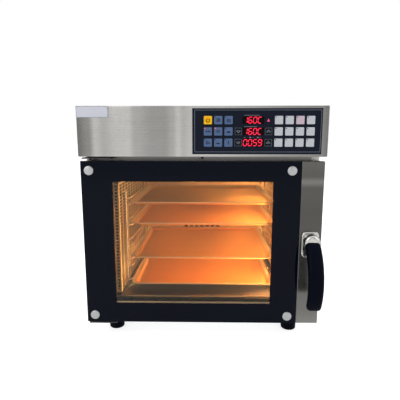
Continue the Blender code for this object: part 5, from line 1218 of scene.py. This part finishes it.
def stage():
    """A plain pale floor that glows just enough to look white from the camera."""
    glow_strength = 0.76
    form = bmesh.new()
    bmesh.ops.create_grid(form, x_segments=1, y_segments=1, size=30)
    paint = surface("floor_paint", (0.62, 0.62, 0.62), 0.9, Specular_IOR_Level=0.0)
    floor = piece_from(form, "floor", paint, smooth=False)
    tree = paint.node_tree
    strength = math_node(tree, "MULTIPLY", seen_directly(tree), glow_strength)
    glow = added(tree, "Emission", Color=(1, 1, 1, 1), Strength=strength)
    add = added(tree, "AddShader")
    tree.links.new(tree.nodes["Principled BSDF"].outputs[0], add.inputs[0])
    tree.links.new(glow.outputs[0], add.inputs[1])
    tree.links.new(add.outputs[0], tree.nodes["Material Output"].inputs["Surface"])


stage()


def world():
    """Soft surroundings, pale above and dim below, and white where they are seen."""
    surroundings = bpy.data.worlds.new("studio")
    bpy.context.scene.world = surroundings
    surroundings.use_nodes = True
    tree = surroundings.node_tree
    ramp = added(tree, "ValToRGB", Fac=split_axes(tree, "Generated")["Z"])
    ends = ((0.0, (0.20, 0.20, 0.21, 1)), (0.75, (0.95, 0.95, 0.95, 1)))
    for element, (position, colour) in zip(ramp.color_ramp.elements, ends):
        element.position = position
        element.color = colour
    background = tree.nodes["Background"]
    tree.links.new(ramp.outputs["Color"], background.inputs["Color"])
    background.inputs["Strength"].default_value = 0.75
    white = added(tree, "Background", Color=(1, 1, 1, 1), Strength=1.0)
    mix = added(tree, "MixShader", Fac=seen_directly(tree))
    tree.links.new(background.outputs[0], mix.inputs[1])
    tree.links.new(white.outputs[0], mix.inputs[2])
    tree.links.new(mix.outputs[0], tree.nodes["World Output"].inputs["Surface"])


world()


def area_light(name, place, target, width, height, power, colour=(1, 1, 1)):
    """A rectangular lamp that faces its target and isn't seen itself."""
    data = bpy.data.lights.new(name, "AREA")
    data.shape = "RECTANGLE"
    data.size, data.size_y = width, height
    data.energy = power
    data.color = colour
    lamp = bpy.data.objects.new(name, data)
    lamp.location = place
    lamp.rotation_mode = "QUATERNION"
    aim = Vector(target) - Vector(place)
    lamp.rotation_quaternion = aim.to_track_quat("-Z", "Y")
    lamp.visible_camera = False
    bpy.context.scene.collection.objects.link(lamp)


area_light("key_left", (-2.4, -2.8, 2.3), (0, 0, 0.3), 3.0, 3.0, 66)
area_light("fill_right", (2.8, -2.0, 1.7), (0, 0, 0.3), 2.4, 2.6, 30)
area_light("top_soft", (0.0, 0.4, 3.0), (0, 0, 0.3), 5.0, 5.0, 44)
area_light("rear_soft", (0.6, 2.8, 1.7), (0, 0, 0.3), 3.0, 2.4, 28)
WARM = (1.0, 0.58, 0.20)
for shelf, (z, power) in enumerate(((0.140, 3.7), (0.240, 3.8), (0.322, 3.2), (0.384, 2.1))):
    area_light(f"chamber_glow_{shelf}", (0.188, BODY_FRONT + 0.09, z),
               (-0.05, BODY_FRONT + 0.16, z - 0.03), 0.12, 0.02, power, WARM)
area_light("chamber_glow_floor", (0.215, BODY_FRONT + 0.012, 0.118),
           (0.12, BODY_FRONT + 0.030, 0.109), 0.02, 0.012, 4.2, WARM)


def camera():
    """The camera, as fitted to the oven's corners in the photograph."""
    focal_pixels, picture_pixels, sensor = 383.3, 400, 36.0
    data = bpy.data.cameras.new("photo_camera")
    data.sensor_width = sensor
    data.lens = focal_pixels / picture_pixels * sensor
    made = bpy.data.objects.new("photo_camera", data)
    made.location = (0.0132, -1.2170, 0.5269)
    pitch, yaw = math.radians(9.33), math.radians(-1.11)
    forward = Vector((math.sin(yaw) * math.cos(pitch), math.cos(yaw) * math.cos(pitch),
                      -math.sin(pitch)))
    made.rotation_mode = "QUATERNION"
    made.rotation_quaternion = forward.to_track_quat("-Z", "Y")
    bpy.context.scene.collection.objects.link(made)
    bpy.context.scene.camera = made


camera()
bpy.context.scene.view_settings.view_transform = "Standard"
